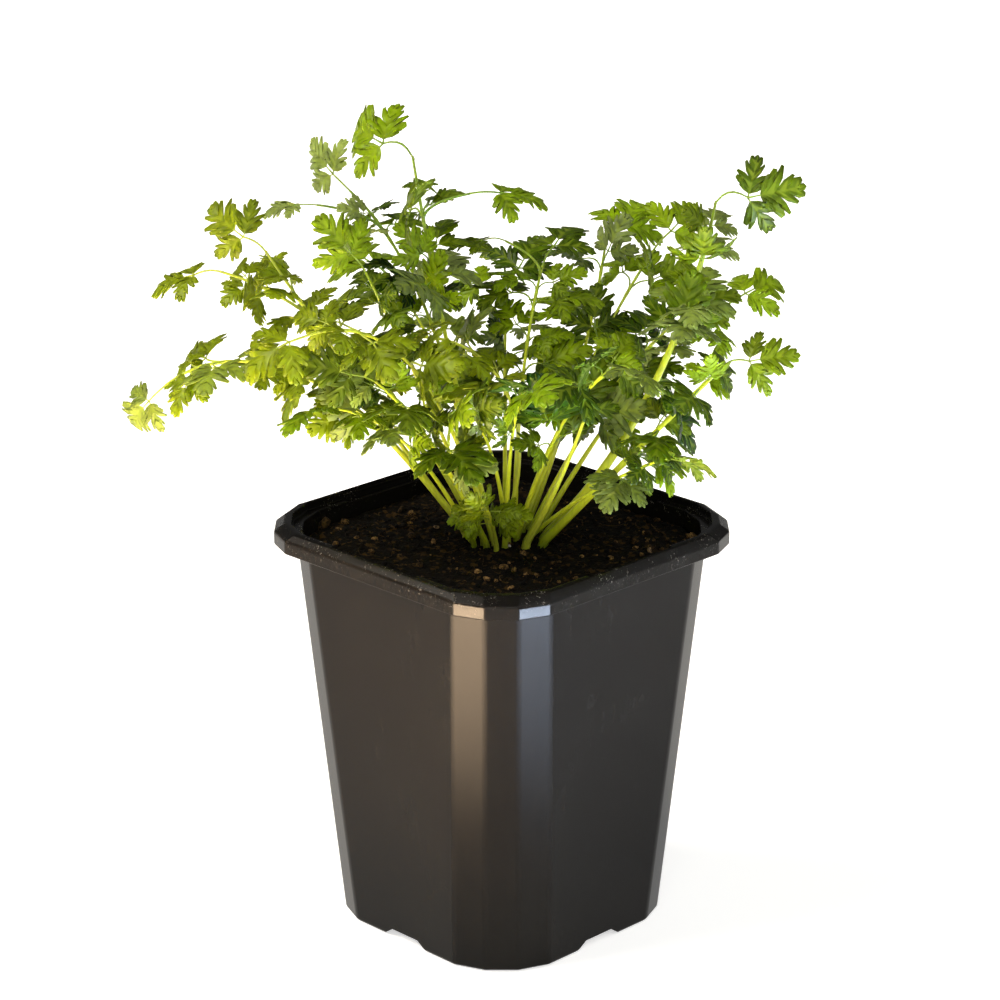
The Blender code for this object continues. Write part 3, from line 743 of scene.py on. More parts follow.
def clearRoom(frond, route, stems):
    rooms = [min((a - b).length for a in route for b in stem.route) - (frond.radius + stem.frond.radius) * mm
             for stem in stems]
    return min(rooms, default=1)


def planStems():
    stems = []
    for frond in fronds:
        foot = footFor(frond, stems)
        tries = []
        for leanShift, turn in product(grow["leanTries"], grow["turnTries"]):
            heading = math.radians(frond.heading + turn)
            route, directions = stemRoute(frond, foot, heading, leanShift)
            stem = Stem(frond, foot, heading, route, directions)
            tries.append((min(grow["stemClear"], clearRoom(frond, route, stems)), -len(tries), stem))
        stems.append(max(tries)[2])
    return stems


# The part's own plain stem and blade: only to find where a leaf is free, never shown

def weldedMesh(item):
    seen = item.evaluated_get(bpy.context.evaluated_depsgraph_get())
    mesh = bpy.data.meshes.new_from_object(seen)
    bpy.data.objects.remove(item)
    shape = bmesh.new()
    shape.from_mesh(mesh)
    bmesh.ops.remove_doubles(shape, verts=shape.verts, dist=grow["weldGap"])
    bmesh.ops.recalc_face_normals(shape, faces=shape.faces)
    shape.to_mesh(mesh)
    shape.free()
    return mesh


def curveItem(name, dimensions, points, radii, closed):
    curve = bpy.data.curves.new(name, "CURVE")
    curve.dimensions = dimensions
    spline = curve.splines.new("POLY")
    spline.points.add(len(points) - 1)
    for knot, point, radius in zip(spline.points, points, radii):
        knot.co = (*point, 1)
        knot.radius = radius
    spline.use_cyclic_u = closed
    return linkItem(name, curve)


def stemMesh(stem):
    last = len(stem.route) - 1
    points = grow["stemPoints"]
    chosen = [0, 2] + [3 + round((last - 3) * step / (points - 3)) for step in range(points - 2)]
    radii = [radiusAt(stem.frond, max(0, index - 2) / (last - 2)) for index in chosen]
    item = curveItem(stem.frond.name + "_plain", "3D", [stem.route[index] for index in chosen], radii, False)
    item.data.bevel_depth = 1
    item.data.bevel_resolution = 1
    item.data.use_fill_caps = True
    return weldedMesh(item)


def leafOutline(length):
    half = grow["stalkHalf"]
    fork = Vector((0, grow["stalkShare"] * length))
    topFoot = fork + Vector((0, grow["topStalkShare"] * length))
    turn = Matrix.Rotation(-grow["sideAngle"], 2)
    right = [Vector((half, 0)), fork + Vector((half, -half))]
    right += [turn @ (grow["sideShare"] * length * Vector(tooth)) + fork for tooth in sideTeeth]
    right += [(length - topFoot.y) * Vector(tooth) + topFoot for tooth in topTeeth]
    return right + [Vector((-point.x, point.y)) for point in reversed(right)]


def flatBlade(length, thickness):
    outline = [(*point, 0) for point in leafOutline(length)]
    item = curveItem("blade", "2D", outline, [1] * len(outline), True)
    item.data.fill_mode = "BOTH"
    item.data.extrude = thickness / 2
    return weldedMesh(item)


# The blade droops along its length and arches down to both sides of its rib
def archPoints(places, length, droop):
    radius = length / droop
    height = radius + places[:, 2] - grow["sideArch"] * places[:, 0] ** 2 / length
    angle = places[:, 1] / radius
    return np.column_stack((places[:, 0], height * np.sin(angle), height * np.cos(angle) - radius))


def placed(places, matrix):
    turned = np.array(matrix.to_3x3())
    return places @ turned.T + np.array(matrix.translation)


def bladeMesh(leaf, extra):
    mesh = flatBlade(leaf.length, grow["bladeThick"] + 2 * extra)
    spread = 1 + 2 * extra / leaf.length
    places = coordinates(mesh) * np.array((spread, spread, 1))
    setCoordinates(mesh, placed(archPoints(places, leaf.length, leaf.droop), leaf.frame))
    return mesh


def drawFor(chance):
    return {
        "size": chance.uniform(*grow["sizes"]),
        "yaw": math.radians(chance.uniform(*grow["yaws"])),
        "lift": math.radians(chance.uniform(*grow["lifts"])),
        "droop": math.radians(chance.uniform(*grow["droops"])),
        "tilt": Vector([chance.uniform(-1, 1) for _ in range(3)]),
    }


# The lower leaves of a stem are longer than the upper ones
def pairSize(frond, share, side):
    if side == 0 or frond.pairs == 1:
        return 1
    change = (grow["highPairSize"] - grow["lowPairSize"]) / (grow["pairEnd"] - frond.start)
    return grow["lowPairSize"] + change * (share - frond.start)


def routeIndex(stem, share):
    return 2 + round(share * (len(stem.route) - 3))


# A leaf's own axes: x across it, y along it, z out of its upper side
def leafFrame(root, along, up):
    across = along.cross(up).normalized()
    turned = Matrix((across, along, across.cross(along))).transposed().to_4x4()
    return Matrix.Translation(root) @ turned


# side is 0 for the leaf at the tip, 1 or -1 for the two of a pair
def leafAt(stem, share, side, draw, nudge, size):
    yaw, lift, roll = [math.radians(angle) for angle in nudge]
    root, tangent = stem.route[routeIndex(stem, share)], stem.directions[routeIndex(stem, share)]
    outward = outwardOf(stem.heading)
    sideways = upright.cross(outward)
    if side == 0:
        along = Matrix.Rotation(math.radians(stem.frond.nod), 3, sideways) @ tangent
        along = Matrix.Rotation(yaw, 3, upright) @ along
        root = root - grow["tipSink"] * tangent
    else:
        angle = grow["pairAngle"] + draw["yaw"] + yaw
        along = tangent * math.cos(angle) + side * sideways * math.sin(angle)
    up = (Vector((0, 0, grow["upShare"])) + grow["outShare"] * outward + grow["viewerShare"] * towardsViewer
          + grow["tiltShare"] * draw["tilt"])
    along = Matrix.Rotation(lift + draw["lift"], 3, along.cross(up).normalized()) @ along
    up = Matrix.Rotation(roll, 3, along) @ up
    length = stem.frond.leaf * mm * size * draw["size"] * pairSize(stem.frond, share, side)
    return Leaf(leafFrame(root, along, up), length, draw["droop"], share, side)


def treeOf(mesh, faces):
    return BVHTree.FromPolygons([vertex.co for vertex in mesh.vertices], faces)


def facesOf(mesh):
    return [tuple(face.vertices) for face in mesh.polygons]


def probeLeaf(leaf):
    mesh = bladeMesh(leaf, grow["bladeClear"])
    root = leaf.frame.translation
    faces = facesOf(mesh)
    far = [face for face in faces
           if min((mesh.vertices[index].co - root).length for index in face) > grow["stalkFoot"]]
    probe = Probe(treeOf(mesh, faces), treeOf(mesh, far), min(vertex.co.z for vertex in mesh.vertices))
    bpy.data.meshes.remove(mesh)
    return probe


def clearsPot(leaf, low):
    root = leaf.frame.translation
    inside = max(abs(root.x), abs(root.y)) + leaf.length < pot["lipHalf"] - grow["soilClear"]
    return low > pot["rimTop"] or inside and low > soil["top"] + grow["soilClear"]


def isFree(probe, place, stemTrees, settled):
    if any(probe.whole.overlap(tree) for index, tree in enumerate(stemTrees) if index != place):
        return False
    if any(probe.whole.overlap(other.whole) for index, other in settled if index != place):
        return False
    return not any(probe.far.overlap(other.far) for index, other in settled if index == place)


def leafSpots(frond):
    spots = [(1, 0)] if frond.leaf else []
    for pair in range(frond.pairs):
        share = frond.start + (grow["pairEnd"] - frond.start) * pair / max(1, frond.pairs - 1)
        spots += [(share, 1), (share, -1)]
    return spots


def settleLeaf(stem, place, share, side, chance, sizes, stemTrees, settled):
    draw = drawFor(chance)
    for size, nudge in product(sizes, nudgeTurns):
        leaf = leafAt(stem, share, side, draw, nudge, size)
        probe = probeLeaf(leaf)
        if clearsPot(leaf, probe.low) and isFree(probe, place, stemTrees, settled):
            settled.append((place, probe))
            return [leaf]
    return []


# First the part's own leaves, then smaller ones that the part has no room for
def planLeaves(stems):
    chance = random.Random(grow["seed"])
    meshes = [stemMesh(stem) for stem in stems]
    stemTrees = [treeOf(mesh, facesOf(mesh)) for mesh in meshes]
    settled, plan = [], []
    for place, stem in enumerate(stems):
        leaves = []
        for share, side in leafSpots(stem.frond):
            leaves += settleLeaf(stem, place, share, side, chance, nudgeSizes, stemTrees, settled)
        plan.append(leaves)
    counted = sum(len(leaves) for leaves in plan)
    for place, stem in enumerate(stems):
        for share, side in addedSpots(stem.frond):
            plan[place] += settleLeaf(stem, place, share, side, chance, fill["sizes"], stemTrees, settled)
    print("leaves placed:", counted, "and", sum(len(leaves) for leaves in plan) - counted, "small ones added")
    twigs = [[] for stem in stems]
    for spray in sprays:
        place = [stem.frond.name for stem in stems].index(spray.frond)
        twigs[place] += settleSpray(stems[place], place, spray, stemTrees, settled)
    return plan, twigs


# Leaves that stand clear of the rest on long thin side stalks, as in the photo
# heading and lean in degrees as the stems', stalk and leaf in mm
Spray = namedtuple("Spray", "frond share heading lean stalk leaf")
sprays = [
    Spray("frond_tall", 0.83, 0, 58, 16, 24),
    Spray("frond_centre", 0.95, 180, 43, 15, 18),
    Spray("frond_up_left", 0.85, 185, 66, 22, 17),
]
sprayTurns = [(0, 0), (8, 0), (-8, 0), (0, 8), (0, -8), (16, 0), (-16, 0), (12, 12), (-12, 12), (24, -6),
              (-24, -6)]
sprayLook = {"steps": 10, "setOff": 0.35, "foot": 0.5 * mm, "end": 0.34 * mm, "sides": 7, "droop": 0.4,
             "rise": 0.1, "viewer": 0.1}


# The side stalk sets off along its stem and bends out; the leaf at its end lies nearly level
def sprayPlaces(stem, spray, turn, tip):
    root, tangent = stem.route[routeIndex(stem, spray.share)], stem.directions[routeIndex(stem, spray.share)]
    heading, lean = math.radians(spray.heading + turn), math.radians(spray.lean + tip)
    outward = outwardOf(heading)
    end = root + (outward * math.sin(lean) + Vector((0, 0, math.cos(lean)))) * spray.stalk * mm
    knee = root + tangent * sprayLook["setOff"] * spray.stalk * mm
    route = []
    for step in range(sprayLook["steps"] + 1):
        share = step / sprayLook["steps"]
        route.append(root.lerp(knee, share).lerp(knee.lerp(end, share), share))
    twig = Stem(stem.frond, None, heading, route, [(end - knee).normalized()] * len(route))
    along = (outward + Vector((0, 0, sprayLook["rise"]))).normalized()
    up = upright + sprayLook["viewer"] * towardsViewer
    return twig, Leaf(leafFrame(end, along, up), spray.leaf * mm, sprayLook["droop"], 1, 0)


def twigTube(twig):
    last = len(twig.route) - 1
    change = sprayLook["end"] - sprayLook["foot"]
    radii = [sprayLook["foot"] + change * step / last for step in range(last + 1)]
    return tubeAlong(twig.frond.name + "_twig", twig.route, radii, sprayLook["sides"])


def settleSpray(stem, place, spray, stemTrees, settled):
    for turn, tip in sprayTurns:
        twig, leaf = sprayPlaces(stem, spray, turn, tip)
        probe = probeLeaf(leaf)
        tube = twigTube(twig)
        tree = treeOf(tube.data, facesOf(tube.data))
        bpy.data.objects.remove(tube, do_unlink=True)
        others = [other.whole for index, other in settled if index != place]
        others += [other for index, other in enumerate(stemTrees) if index != place]
        if isFree(probe, place, stemTrees, settled) and not any(tree.overlap(other) for other in others):
            settled.append((place, probe))
            return [(twig, leaf)]
    print("no free place for the spray of", spray.frond)
    return []


# Small leaves between the pairs, as thick as the photo shows them
fill = {"sizes": [0.8, 0.66, 0.54], "shares": [0.46, 0.58, 0.71, 0.90], "leastPairs": 1, "leastLeaf": 15,
        "below": 0.16}


def addedSpots(frond):
    if frond.pairs < fill["leastPairs"] or frond.leaf < fill["leastLeaf"]:
        return []
    return [(share, side) for share in fill["shares"] if share > frond.start - fill["below"] for side in (1, -1)]


# Leaflet: a grid laid from the rib to the cut edge, one column to each tooth tip, shoulder and notch

leaflet = {
    "notches": [(0.03, 0.0), (0.24, 0.26), (0.30, 0.42), (0.085, 0.40), (0.125, 0.67), (0.05, 0.83)],
    "teeth": [(0.37, 0.18), (0.52, 0.36), (0.46, 0.60), (0.31, 0.77), (0.19, 0.96)], "tip": (0.0, 1.04),
    "jitter": 0.024, "notchJitter": 0.4, "toothJitter": 1.4, "shoulder": 0.68, "round": 0.30,
    "veinSlope": 1.05, "ribEnd": 0.90, "middle": 0.56, "edgeVein": 0.35,
    "groove": 0.012, "quilt": 0.013, "toothDip": 0.01, "reliefReach": 0.40,
    "ripple": 0.02, "ripples": 9, "rippleWide": 4, "sideLift": 0.22, "curl": (0.2, 0.62), "twist": (-0.25, 0.25),
    "thick": 0.020, "weld": 0.004, "variants": 8, "seed": 21,
}


def marginOf(chance):
    notches = [Vector(point) for point in leaflet["notches"]]
    teeth = [Vector(point) for point in leaflet["teeth"]] + [Vector(leaflet["tip"])]
    half = []
    for side in (1, -1):
        row = []
        for number, tooth in enumerate(teeth):
            shift = Vector((chance.uniform(-1, 1), chance.uniform(-1, 1))) * leaflet["jitter"]
            if number == len(teeth) - 1:
                row.append(("notch", notches[number]))
                continue
            row.append(("notch", notches[number] + shift * (leaflet["notchJitter"] if number else 0)))
            row.append(("tooth", tooth + shift * leaflet["toothJitter"]))
        half.append([(kind, Vector((side * point.x, point.y))) for kind, point in row])
    corners = half[0] + [("tooth", teeth[-1])] + half[1][::-1]
    points = []
    for number, (kind, point) in enumerate(corners):
        if kind == "notch":
            points.append((point, 0))
            continue
        before, after = corners[number - 1][1], corners[number + 1][1]
        middle = (before + after) / 2
        reach = (point - middle).length
        for end in (before, after):
            bulge = (end - middle).normalized() * leaflet["round"] * reach
            points.append((end.lerp(point, leaflet["shoulder"]) + bulge, 0))
            if end is before:
                points.append((point, 1))
    return points


def ribHeights():
    wanted = marginOf(random.Random(0))
    half = (len(wanted) + 1) // 2
    heights, reached = [], 0
    for point, _ in wanted[:half]:
        reached = max(reached, point.y - leaflet["veinSlope"] * abs(point.x))
        heights.append(min(reached, leaflet["ribEnd"]))
    return heights + heights[-2::-1]


def leafletModel(name, chance, width):
    points = marginOf(chance)
    ribs = ribHeights()
    last = len(points) - 1
    curl = chance.uniform(*leaflet["curl"])
    twist = chance.uniform(*leaflet["twist"])
    wave = chance.uniform(0, fullTurn)

    def place(across, along):
        column = round(across * last)
        row = round(along * 2)
        edge, vein = points[column]
        rib = Vector((0, ribs[column]))
        spot = rib.lerp(edge, (0, leaflet["middle"], 1)[row])
        relief = min(1, (edge - rib).length / leaflet["reliefReach"])
        lifts = (-leaflet["groove"], leaflet["quilt"] * (1 - 2 * vein), -leaflet["toothDip"] * vein)
        ripple = leaflet["ripple"] * math.sin(leaflet["ripples"] * spot.y + wave) * abs(spot.x)
        lift = relief * lifts[row] + ripple * math.copysign(leaflet["rippleWide"], spot.x)
        x = spot.x * width
        lift += twist * x * spot.y + leaflet["sideLift"] * abs(x) * (1 - spot.y)
        angle = curl * spot.y
        radius = 1 / curl
        return Vector((x, (radius + lift) * math.sin(angle), (radius + lift) * math.cos(angle) - radius))

    made = laidGrid(name, last, 2, place)
    veins = [1] * len(points) + [vein for _, vein in points] + [leaflet["edgeVein"] * vein for _, vein in points]
    paintPoints(made.data, "vein", veins)
    editAll(made)
    bpy.ops.mesh.remove_doubles(threshold=leaflet["weld"])
    leaveOutwards()
    if sum(face.normal.z * face.area for face in made.data.polygons) < 0:
        made.data.flip_normals()
    wear(made, *skins.values())
    applyModifier(made, "SOLIDIFY", thickness=leaflet["thick"], offset=0, material_offset=1, material_offset_rim=1)
    bpy.ops.object.shade_smooth()
    return made


# A whole leaf, a unit long and flat: its stalk, the leaflet at the end and one to each side
leafStalk = {
    "foot": 0.015, "middle": 0.0125, "fork": 0.0115, "end": 0.009, "sides": 5, "sideStalk": 0.05, "topNeck": 0.14,
    "stalkShares": (-0.04, 0.12, 0.28, 0.46, 0.64, 0.82, 1.02), "neckShares": (-0.03, 0.35, 0.7, 1.12),
    "spurShares": (-0.1, 0.6, 1.3), "topWidth": (0.92, 1.08), "sideWidth": (0.80, 0.95), "sideGrow": 1.07,
    "sideSize": (0.95, 1.05), "sideTurn": (-0.1, 0.1), "sideTip": (-0.15, 0.25), "sideRoll": (-0.3, 0.3),
    "tone": (0, 0.3), "stalkTone": 0.2, "bow": 1.2, "boxSizes": [1, 0.96, 0.92, 0.88, 0.84],
}


def leafModel(number):
    chance = random.Random(leaflet["seed"] + number)
    fork, reach = grow["stalkShare"], leafStalk["sideStalk"]
    topFoot = fork + leafStalk["topNeck"]
    sides, endRadius, forkRadius = leafStalk["sides"], leafStalk["end"], leafStalk["fork"]
    parts = [leafletModel("top", chance, chance.uniform(*leafStalk["topWidth"]))]
    parts[0].data.transform(Matrix.Translation((0, topFoot, 0)) @ Matrix.Scale(1 - topFoot, 4))
    stalks = []
    for side in (1, -1):
        part = leafletModel("side", chance, chance.uniform(*leafStalk["sideWidth"]))
        size = grow["sideShare"] * leafStalk["sideGrow"] * chance.uniform(*leafStalk["sideSize"])
        turn = Matrix.Rotation(-side * (grow["sideAngle"] + chance.uniform(*leafStalk["sideTurn"])), 4, "Z")
        tip = Matrix.Rotation(chance.uniform(*leafStalk["sideTip"]), 4, "X")
        tip = tip @ Matrix.Rotation(chance.uniform(*leafStalk["sideRoll"]), 4, "Y")
        start = Matrix.Translation((0, fork, 0)) @ turn
        part.data.transform(start @ Matrix.Translation((0, reach, 0)) @ tip @ Matrix.Scale(size - reach, 4))
        parts.append(part)
        spur = [start @ Vector((0, share * reach, 0)) for share in leafStalk["spurShares"]]
        stalks.append(tubeAlong("spur", spur, [endRadius] * 3, sides))
    for part in parts:
        paintPoints(part.data, "tone", chance.uniform(*leafStalk["tone"]))
        paintPoints(part.data, "bow", 0)
    foot = [Vector((0, share * fork, 0)) for share in leafStalk["stalkShares"]]
    stalks.append(tubeAlong("stalk", foot, [leafStalk["foot"]] + [leafStalk["middle"]] * 5 + [forkRadius], sides))
    paintPoints(stalks[-1].data, "bow", 1)
    neck = [Vector((0, fork + share * (topFoot - fork), 0)) for share in leafStalk["neckShares"]]
    stalks.append(tubeAlong("neck", neck, [forkRadius] * 2 + [endRadius] * 2, sides))
    for part in stalks:
        wear(part, *skins.values())
        for face in part.data.polygons:
            face.material_index = 2
        paintPoints(part.data, "tone", leafStalk["stalkTone"])
        paintPoints(part.data, "rise", 1)
    return joinAll(parts + stalks, f"leaf_model_{number}")


stemLook = {
    "sides": 15, "ridge": 0.055, "ridges": 5, "footThin": 0.9, "thin": 0.66, "thinShare": 0.6, "thinRadius": 1.2,
    "forkSwell": 0.16 * mm, "forkLength": 1.6 * mm, "tipRadius": 0.36 * mm, "tipShare": 0.9, "tipRest": 0.1,
    "riseReach": 0.1,
}


def stemTube(stem, leaves):
    last = len(stem.route) - 1
    thin = min(1, stemLook["thin"] * math.sqrt(stem.frond.radius / stemLook["thinRadius"]))
    radii = []
    for index in range(last + 1):
        share = max(0, index - 2) / (last - 2)
        thinned = min(1, share / stemLook["thinShare"])
        radius = radiusAt(stem.frond, share) * (stemLook["footThin"] + (thin - stemLook["footThin"]) * thinned)
        for leaf in leaves:
            away = abs(leaf.share - share) * stem.frond.length * mm
            if leaf.side:
                radius += stemLook["forkSwell"] * math.exp(-(away / stemLook["forkLength"]) ** 2) / 2
        if stem.frond.leaf and share > stemLook["tipShare"]:
            radius += (stemLook["tipRadius"] - radius) * (share - stemLook["tipShare"]) / stemLook["tipRest"]
        radii.append(radius)
    made = tubeAlong(stem.frond.name + "_stem", stem.route, radii, stemLook["sides"], stemLook["ridge"],
                     stemLook["ridges"])
    rises = (coordinates(made.data)[:, 2] - soil["top"]) / stemLook["riseReach"]
    paintPoints(made.data, "rise", np.clip(rises, 0, 1))
    wear(made, skins["stem"])
    return made


# Some leaves get a pale grey-green tint, partly varied hue and partly a painted waxy sheen; most are dark and a few
# bright; the youngest is lime
leafTints = {
    "paleSheenShare": 0.24, "pale": (0.35, 0.9), "paleSheenColour": "#a8ba68", "toneReach": 1.15, "toneSkew": 1.8,
    "toneLess": 0.15, "youngLength": 30, "youngLime": 0.5, "limeFrond": 0.75, "greenFrond": 0.1,
    "limeSpread": (-0.15, 0.2),
}


# A leaf laid on its stem, made smaller if it would reach out of the part's box
def leafPlaces(mesh, stem, leaf):
    flat = coordinates(mesh)
    for size in leafStalk["boxSizes"]:
        length = leaf.length * size
        places = placed(archPoints(flat * length, length, leaf.droop), leaf.frame)
        places = places + stalkBow(mesh, flat, stem, leaf)
        if (places.min(axis=0) > np.array(cadBox[0])).all() and (places.max(axis=0) < np.array(cadBox[1])).all():
            break
    return places


# The leaf's stalk leaves the stem along it and bends over to the leaf
def stalkBow(mesh, flat, stem, leaf):
    share = np.clip(flat[:, 1] / grow["stalkShare"], 0, 1)
    along = leaf.frame.col[1].to_3d()
    tangent = stem.directions[routeIndex(stem, leaf.share)]
    aside = np.array(tangent - along * tangent.dot(along))
    reach = leafStalk["bow"] * grow["stalkShare"] * leaf.length
    return (paintedPoints(mesh, "bow") * share * (1 - share) * reach)[:, None] * aside


def growFrond(stem, leaves, twigs, models, chance):
    parts = [stemTube(stem, leaves)]
    young = stem.frond.length < leafTints["youngLength"]
    for twig, leaf in twigs:
        parts.append(twigTube(twig))
        paintPoints(parts[-1].data, "rise", 1)
        wear(parts[-1], skins["stem"])
    for base, leaf in [(stem, leaf) for leaf in leaves] + twigs:
        model = chance.choice(models)
        copy = linkItem("leaf", model.data.copy())
        setCoordinates(copy.data, leafPlaces(copy.data, base, leaf))
        bright = leafTints["toneReach"] * chance.random() ** leafTints["toneSkew"]
        paintPoints(copy.data, "tone", paintedPoints(copy.data, "tone") + bright - leafTints["toneLess"])
        # the pale tint on some leaves: partly varied hue, partly a painted waxy sheen
        pale = chance.uniform(*leafTints["pale"]) if chance.random() < leafTints["paleSheenShare"] else 0
        paintPoints(copy.data, "pale", 0 if young else pale)
        parts.append(copy)
    lime = leafTints["youngLime"] if young else leafTints["greenFrond"]
    if stem.frond.tint == "lime":
        lime = leafTints["limeFrond"]
    for part in parts:
        paintPoints(part.data, "lime", min(1, max(0, lime + chance.uniform(*leafTints["limeSpread"]))))
    piece = joinAll(parts, stem.frond.name + "_fine")
    return finishPiece(piece, "leaf_" + stem.frond.tint, stem.frond.name)


# Young parsley-like leaf skin: soft waxy sheen above, light veins, and some light comes through
def leafSkin(name, deep, mid, lime, veinColour, roughness):
    made, add, shader, place = newMaterial(name)
    tone, limeShare, pale, vein = [add("Attribute", {"attribute_name": painted}, "Fac")
                                   for painted in ("tone", "lime", "pale", "vein")]
    base = add("ValToRGB", {"Fac": tone, "stops": [(0.05, deep), (0.85, mid)]})
    base = add("Mix", {**mixed, 0: limeShare, 6: base, 7: lime}, 2)
    # pale grey-green tint mixed in: partly varied hue, partly a painted waxy sheen
    base = add("Mix", {**mixed, 0: pale, 6: base, 7: leafTints["paleSheenColour"]}, 2)
    mottle = add("TexNoise", {"Vector": place, "Scale": features(3), "Detail": 5.0, "Roughness": 0.65})
    shade = add("ValToRGB", {"Fac": mottle, "stops": [(0.3, 0.5), (0.7, 1.2)]})
    base = add("Mix", {**tinted, 6: base, 7: shade}, 2)
    line = add("ValToRGB", {"Fac": vein, "stops": [(0.66, 0.0), (1.0, 0.36)]})
    base = add("Mix", {**mixed, 0: line, 6: base, 7: veinColour}, 2)
    cells = add("TexNoise", {"Vector": place, "Scale": features(0.35), "Detail": 2.0})
    sunken = add("Math", {**times, 0: vein, 1: -0.8})
    height = add("Math", {**plus, 0: add("Math", {**times, 0: cells, 1: 0.4}), 1: sunken})
    setNode(shader, {
        "Base Color": base, "Roughness": roughness, "IOR": 1.42, "Specular IOR Level": 0.28,
        "Normal": add("Bump", {"Height": height, "Strength": 0.5, "Distance": 0.12 * mm}),
    })
    glow = add("BsdfTranslucent", {"Color": add("Mix", {**tinted, 6: base, 7: "#fff860"}, 2)})
    through = add("MixShader", {0: 0.40, 1: shader.outputs[0], 2: glow})
    setNode(made.node_tree.nodes["Material Output"], {"Surface": through})
    return made


# Fresh juicy stem: pale yellow-green, ribbed, and darker where it leaves the soil, which is painted shade
def stemSkin():
    made, add, shader, place = newMaterial("ribbed fresh stem")
    rise, limeShare = [add("Attribute", {"attribute_name": painted}, "Fac") for painted in ("rise", "lime")]
    # the dark green in the lowest 7 mm above the soil is painted shade where the stem leaves it
    base = add("ValToRGB", {"Fac": rise, "stops": [(0.0, "#43560f"), (0.07, "#a0ac1c"), (0.18, "#eef438"),
                                                   (0.4, "#d6e030"), (0.75, "#9cb41c"), (1.0, "#628212")]})
    base = add("Mix", {**mixed, 0: add("Math", {**times, 0: limeShare, 1: 0.6}), 6: base, 7: "#d9de50"}, 2)
    stretch = add("Mapping", {"Vector": place, "Scale": (1, 1, 0.2)})
    fleck = add("TexNoise", {"Vector": stretch, "Scale": features(0.9), "Detail": 4.0})
    shade = add("ValToRGB", {"Fac": fleck, "stops": [(0.3, 0.86), (0.7, 1.1)]})
    setNode(shader, {
        "Base Color": add("Mix", {**tinted, 6: base, 7: shade}, 2), "Roughness": 0.32, "IOR": 1.42,
        "Subsurface Weight": 0.35, "Subsurface Radius": (1.0, 1.0, 0.3), "Subsurface Scale": 1.0 * mm,
        "Normal": add("Bump", {"Height": fleck, "Strength": 0.3, "Distance": 0.1 * mm}),
    })
    return made


skins = {
    "upper": leafSkin("fresh leaf upper side", "#1d4200", "#92b406", "#9cae08", "#a4b834", 0.34),
    "under": leafSkin("fresh leaf underside", "#4c7010", "#98ae32", "#b2c030", "#b4c464", 0.55),
    "stem": stemSkin(),
}
stems = planStems()
plan, twigs = planLeaves(stems)
models = [leafModel(number) for number in range(leaflet["variants"])]
print("leaf models cut")
growChance = random.Random(grow["seed"] + 1)
for stem, leaves, stemTwigs in zip(stems, plan, twigs):
    growFrond(stem, leaves, stemTwigs, models, growChance)
for model in models:
    bpy.data.objects.remove(model, do_unlink=True)
print("fronds grown")


# Camera, light and floor

view = {
    "target": (0, 0, 131.6 * mm), "distance": 1019.3 * mm, "elevation": 19.29, "azimuth": 45,
    "lens": 123.4, "shift": -0.0017,
}


# The direction in which a camera or a sun lies
def backVector(azimuth, elevation):
    turn, rise = math.radians(azimuth), math.radians(elevation)
    return Vector((math.sin(turn) * math.cos(rise), -math.cos(turn) * math.cos(rise), math.sin(rise)))


def aimedItem(name, data, back):
    item = linkItem(name, data)
    item.rotation_euler = (-back).to_track_quat("-Z", "Y").to_euler()
    return item


def placeCamera():
    back = backVector(view["azimuth"], view["elevation"])
    camera = aimedItem("photo_camera", bpy.data.cameras.new("photo_camera"), back)
    camera.location = Vector(view["target"]) + back * view["distance"]
    camera.data.lens = view["lens"]
    camera.data.shift_x = view["shift"]
    bpy.context.scene.camera = camera


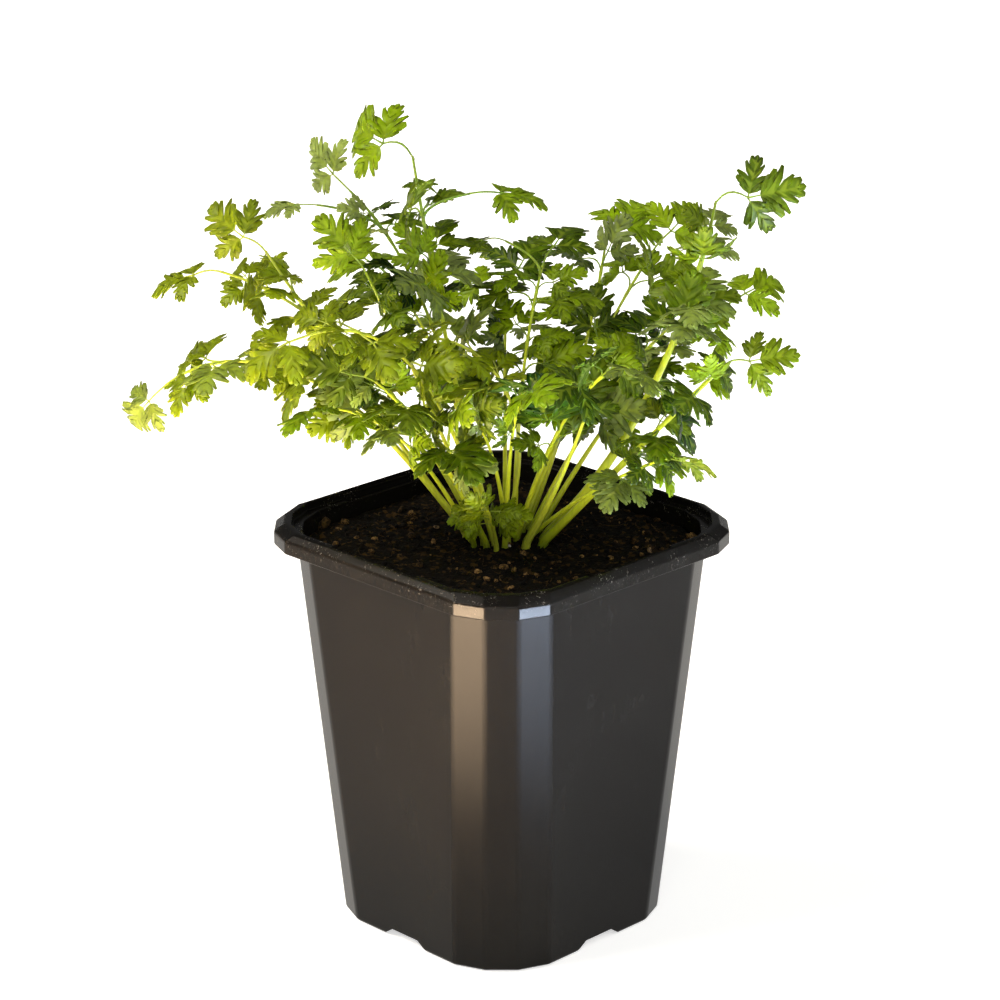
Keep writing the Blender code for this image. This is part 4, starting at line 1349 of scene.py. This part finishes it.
placeCamera()
light = {
    "sky": 0.2, "floorSize": 16, "floorGlow": 0.58, "lampHeight": 0.5, "lampRadius": 0.03,
    # degrees to the camera's right, degrees up, strength, softness in degrees, colour
    "suns": {
        "key_light": (-84, 47, 3.4, 36, "#fff5e6"),
        "front_fill": (12, 26, 1.25, 60, "#fffdf8"),
        "side_fill": (75, 40, 0.65, 60, "#fffdf8"),
    },
    # degrees to the camera's right, distance from the pot's axis, cone in degrees, power, colour
    "lamps": {
        "left_lamp": (-38, 0.27, 35, 440, "#ffdcb4"),
        "left_rim_lamp": (-38, 0.375, 20, 1800, "#ffdcb4"),
        "right_lamp": (38, 0.27, 35, 165, "#d3e4ff"),
        "right_rim_lamp": (38, 0.375, 20, 2000, "#d3e4ff"),
    },
}


def addSun(name, side, height, strength, softness, colour):
    lamp = bpy.data.lights.new(name, "SUN")
    lamp.energy = strength
    lamp.angle = math.radians(softness)
    lamp.color = linear(colour)[:3]
    return aimedItem(name, lamp, backVector(view["azimuth"] + side, height))


# A lamp that hangs beside the pot and lights only the floor below it, which the pot's corner mirrors
def addFloorLamp(name, side, away, cone, power, colour):
    turn = math.radians(view["azimuth"] + side)
    lamp = bpy.data.lights.new(name, "SPOT")
    lamp.energy = power
    lamp.spot_size = math.radians(cone)
    lamp.spot_blend = 1
    lamp.shadow_soft_size = light["lampRadius"]
    lamp.color = linear(colour)[:3]
    item = linkItem(name, lamp)
    item.location = (math.sin(turn) * away, -math.cos(turn) * away, light["lampHeight"])
    return item


# White card that glows a little, as a light table does: the floor stays as white as the photo's
def whiteCard():
    made, add, shader, place = newMaterial("matt white card")
    cloud = add("TexNoise", {"Vector": place, "Scale": 2.0, "Detail": 3.0})
    setNode(shader, {
        "Base Color": add("ValToRGB", {"Fac": cloud, "stops": [(0.3, "#f3f3f2"), (0.7, "#f7f7f6")]}),
        "Roughness": 0.9, "Specular IOR Level": 0.1,
        "Emission Color": "#ffffff", "Emission Strength": light["floorGlow"],
    })
    return made


def buildStage():
    deselectAll()
    bpy.ops.mesh.primitive_plane_add(size=light["floorSize"], location=(0, 0, -0.05 * mm))
    floor = bpy.context.active_object
    floor.name = "pale_floor"
    wear(floor, whiteCard())
    world = bpy.data.worlds.new("studio")
    bpy.context.scene.world = world
    world.use_nodes = True
    setNode(world.node_tree.nodes["Background"], {"Color": "#ffffff", "Strength": light["sky"]})
    for name, values in light["suns"].items():
        addSun(name, *values)
    for name, values in light["lamps"].items():
        addFloorLamp(name, *values)
    bpy.context.scene.view_settings.view_transform = "Standard"


buildStage()
print("stage lit")

print("done")
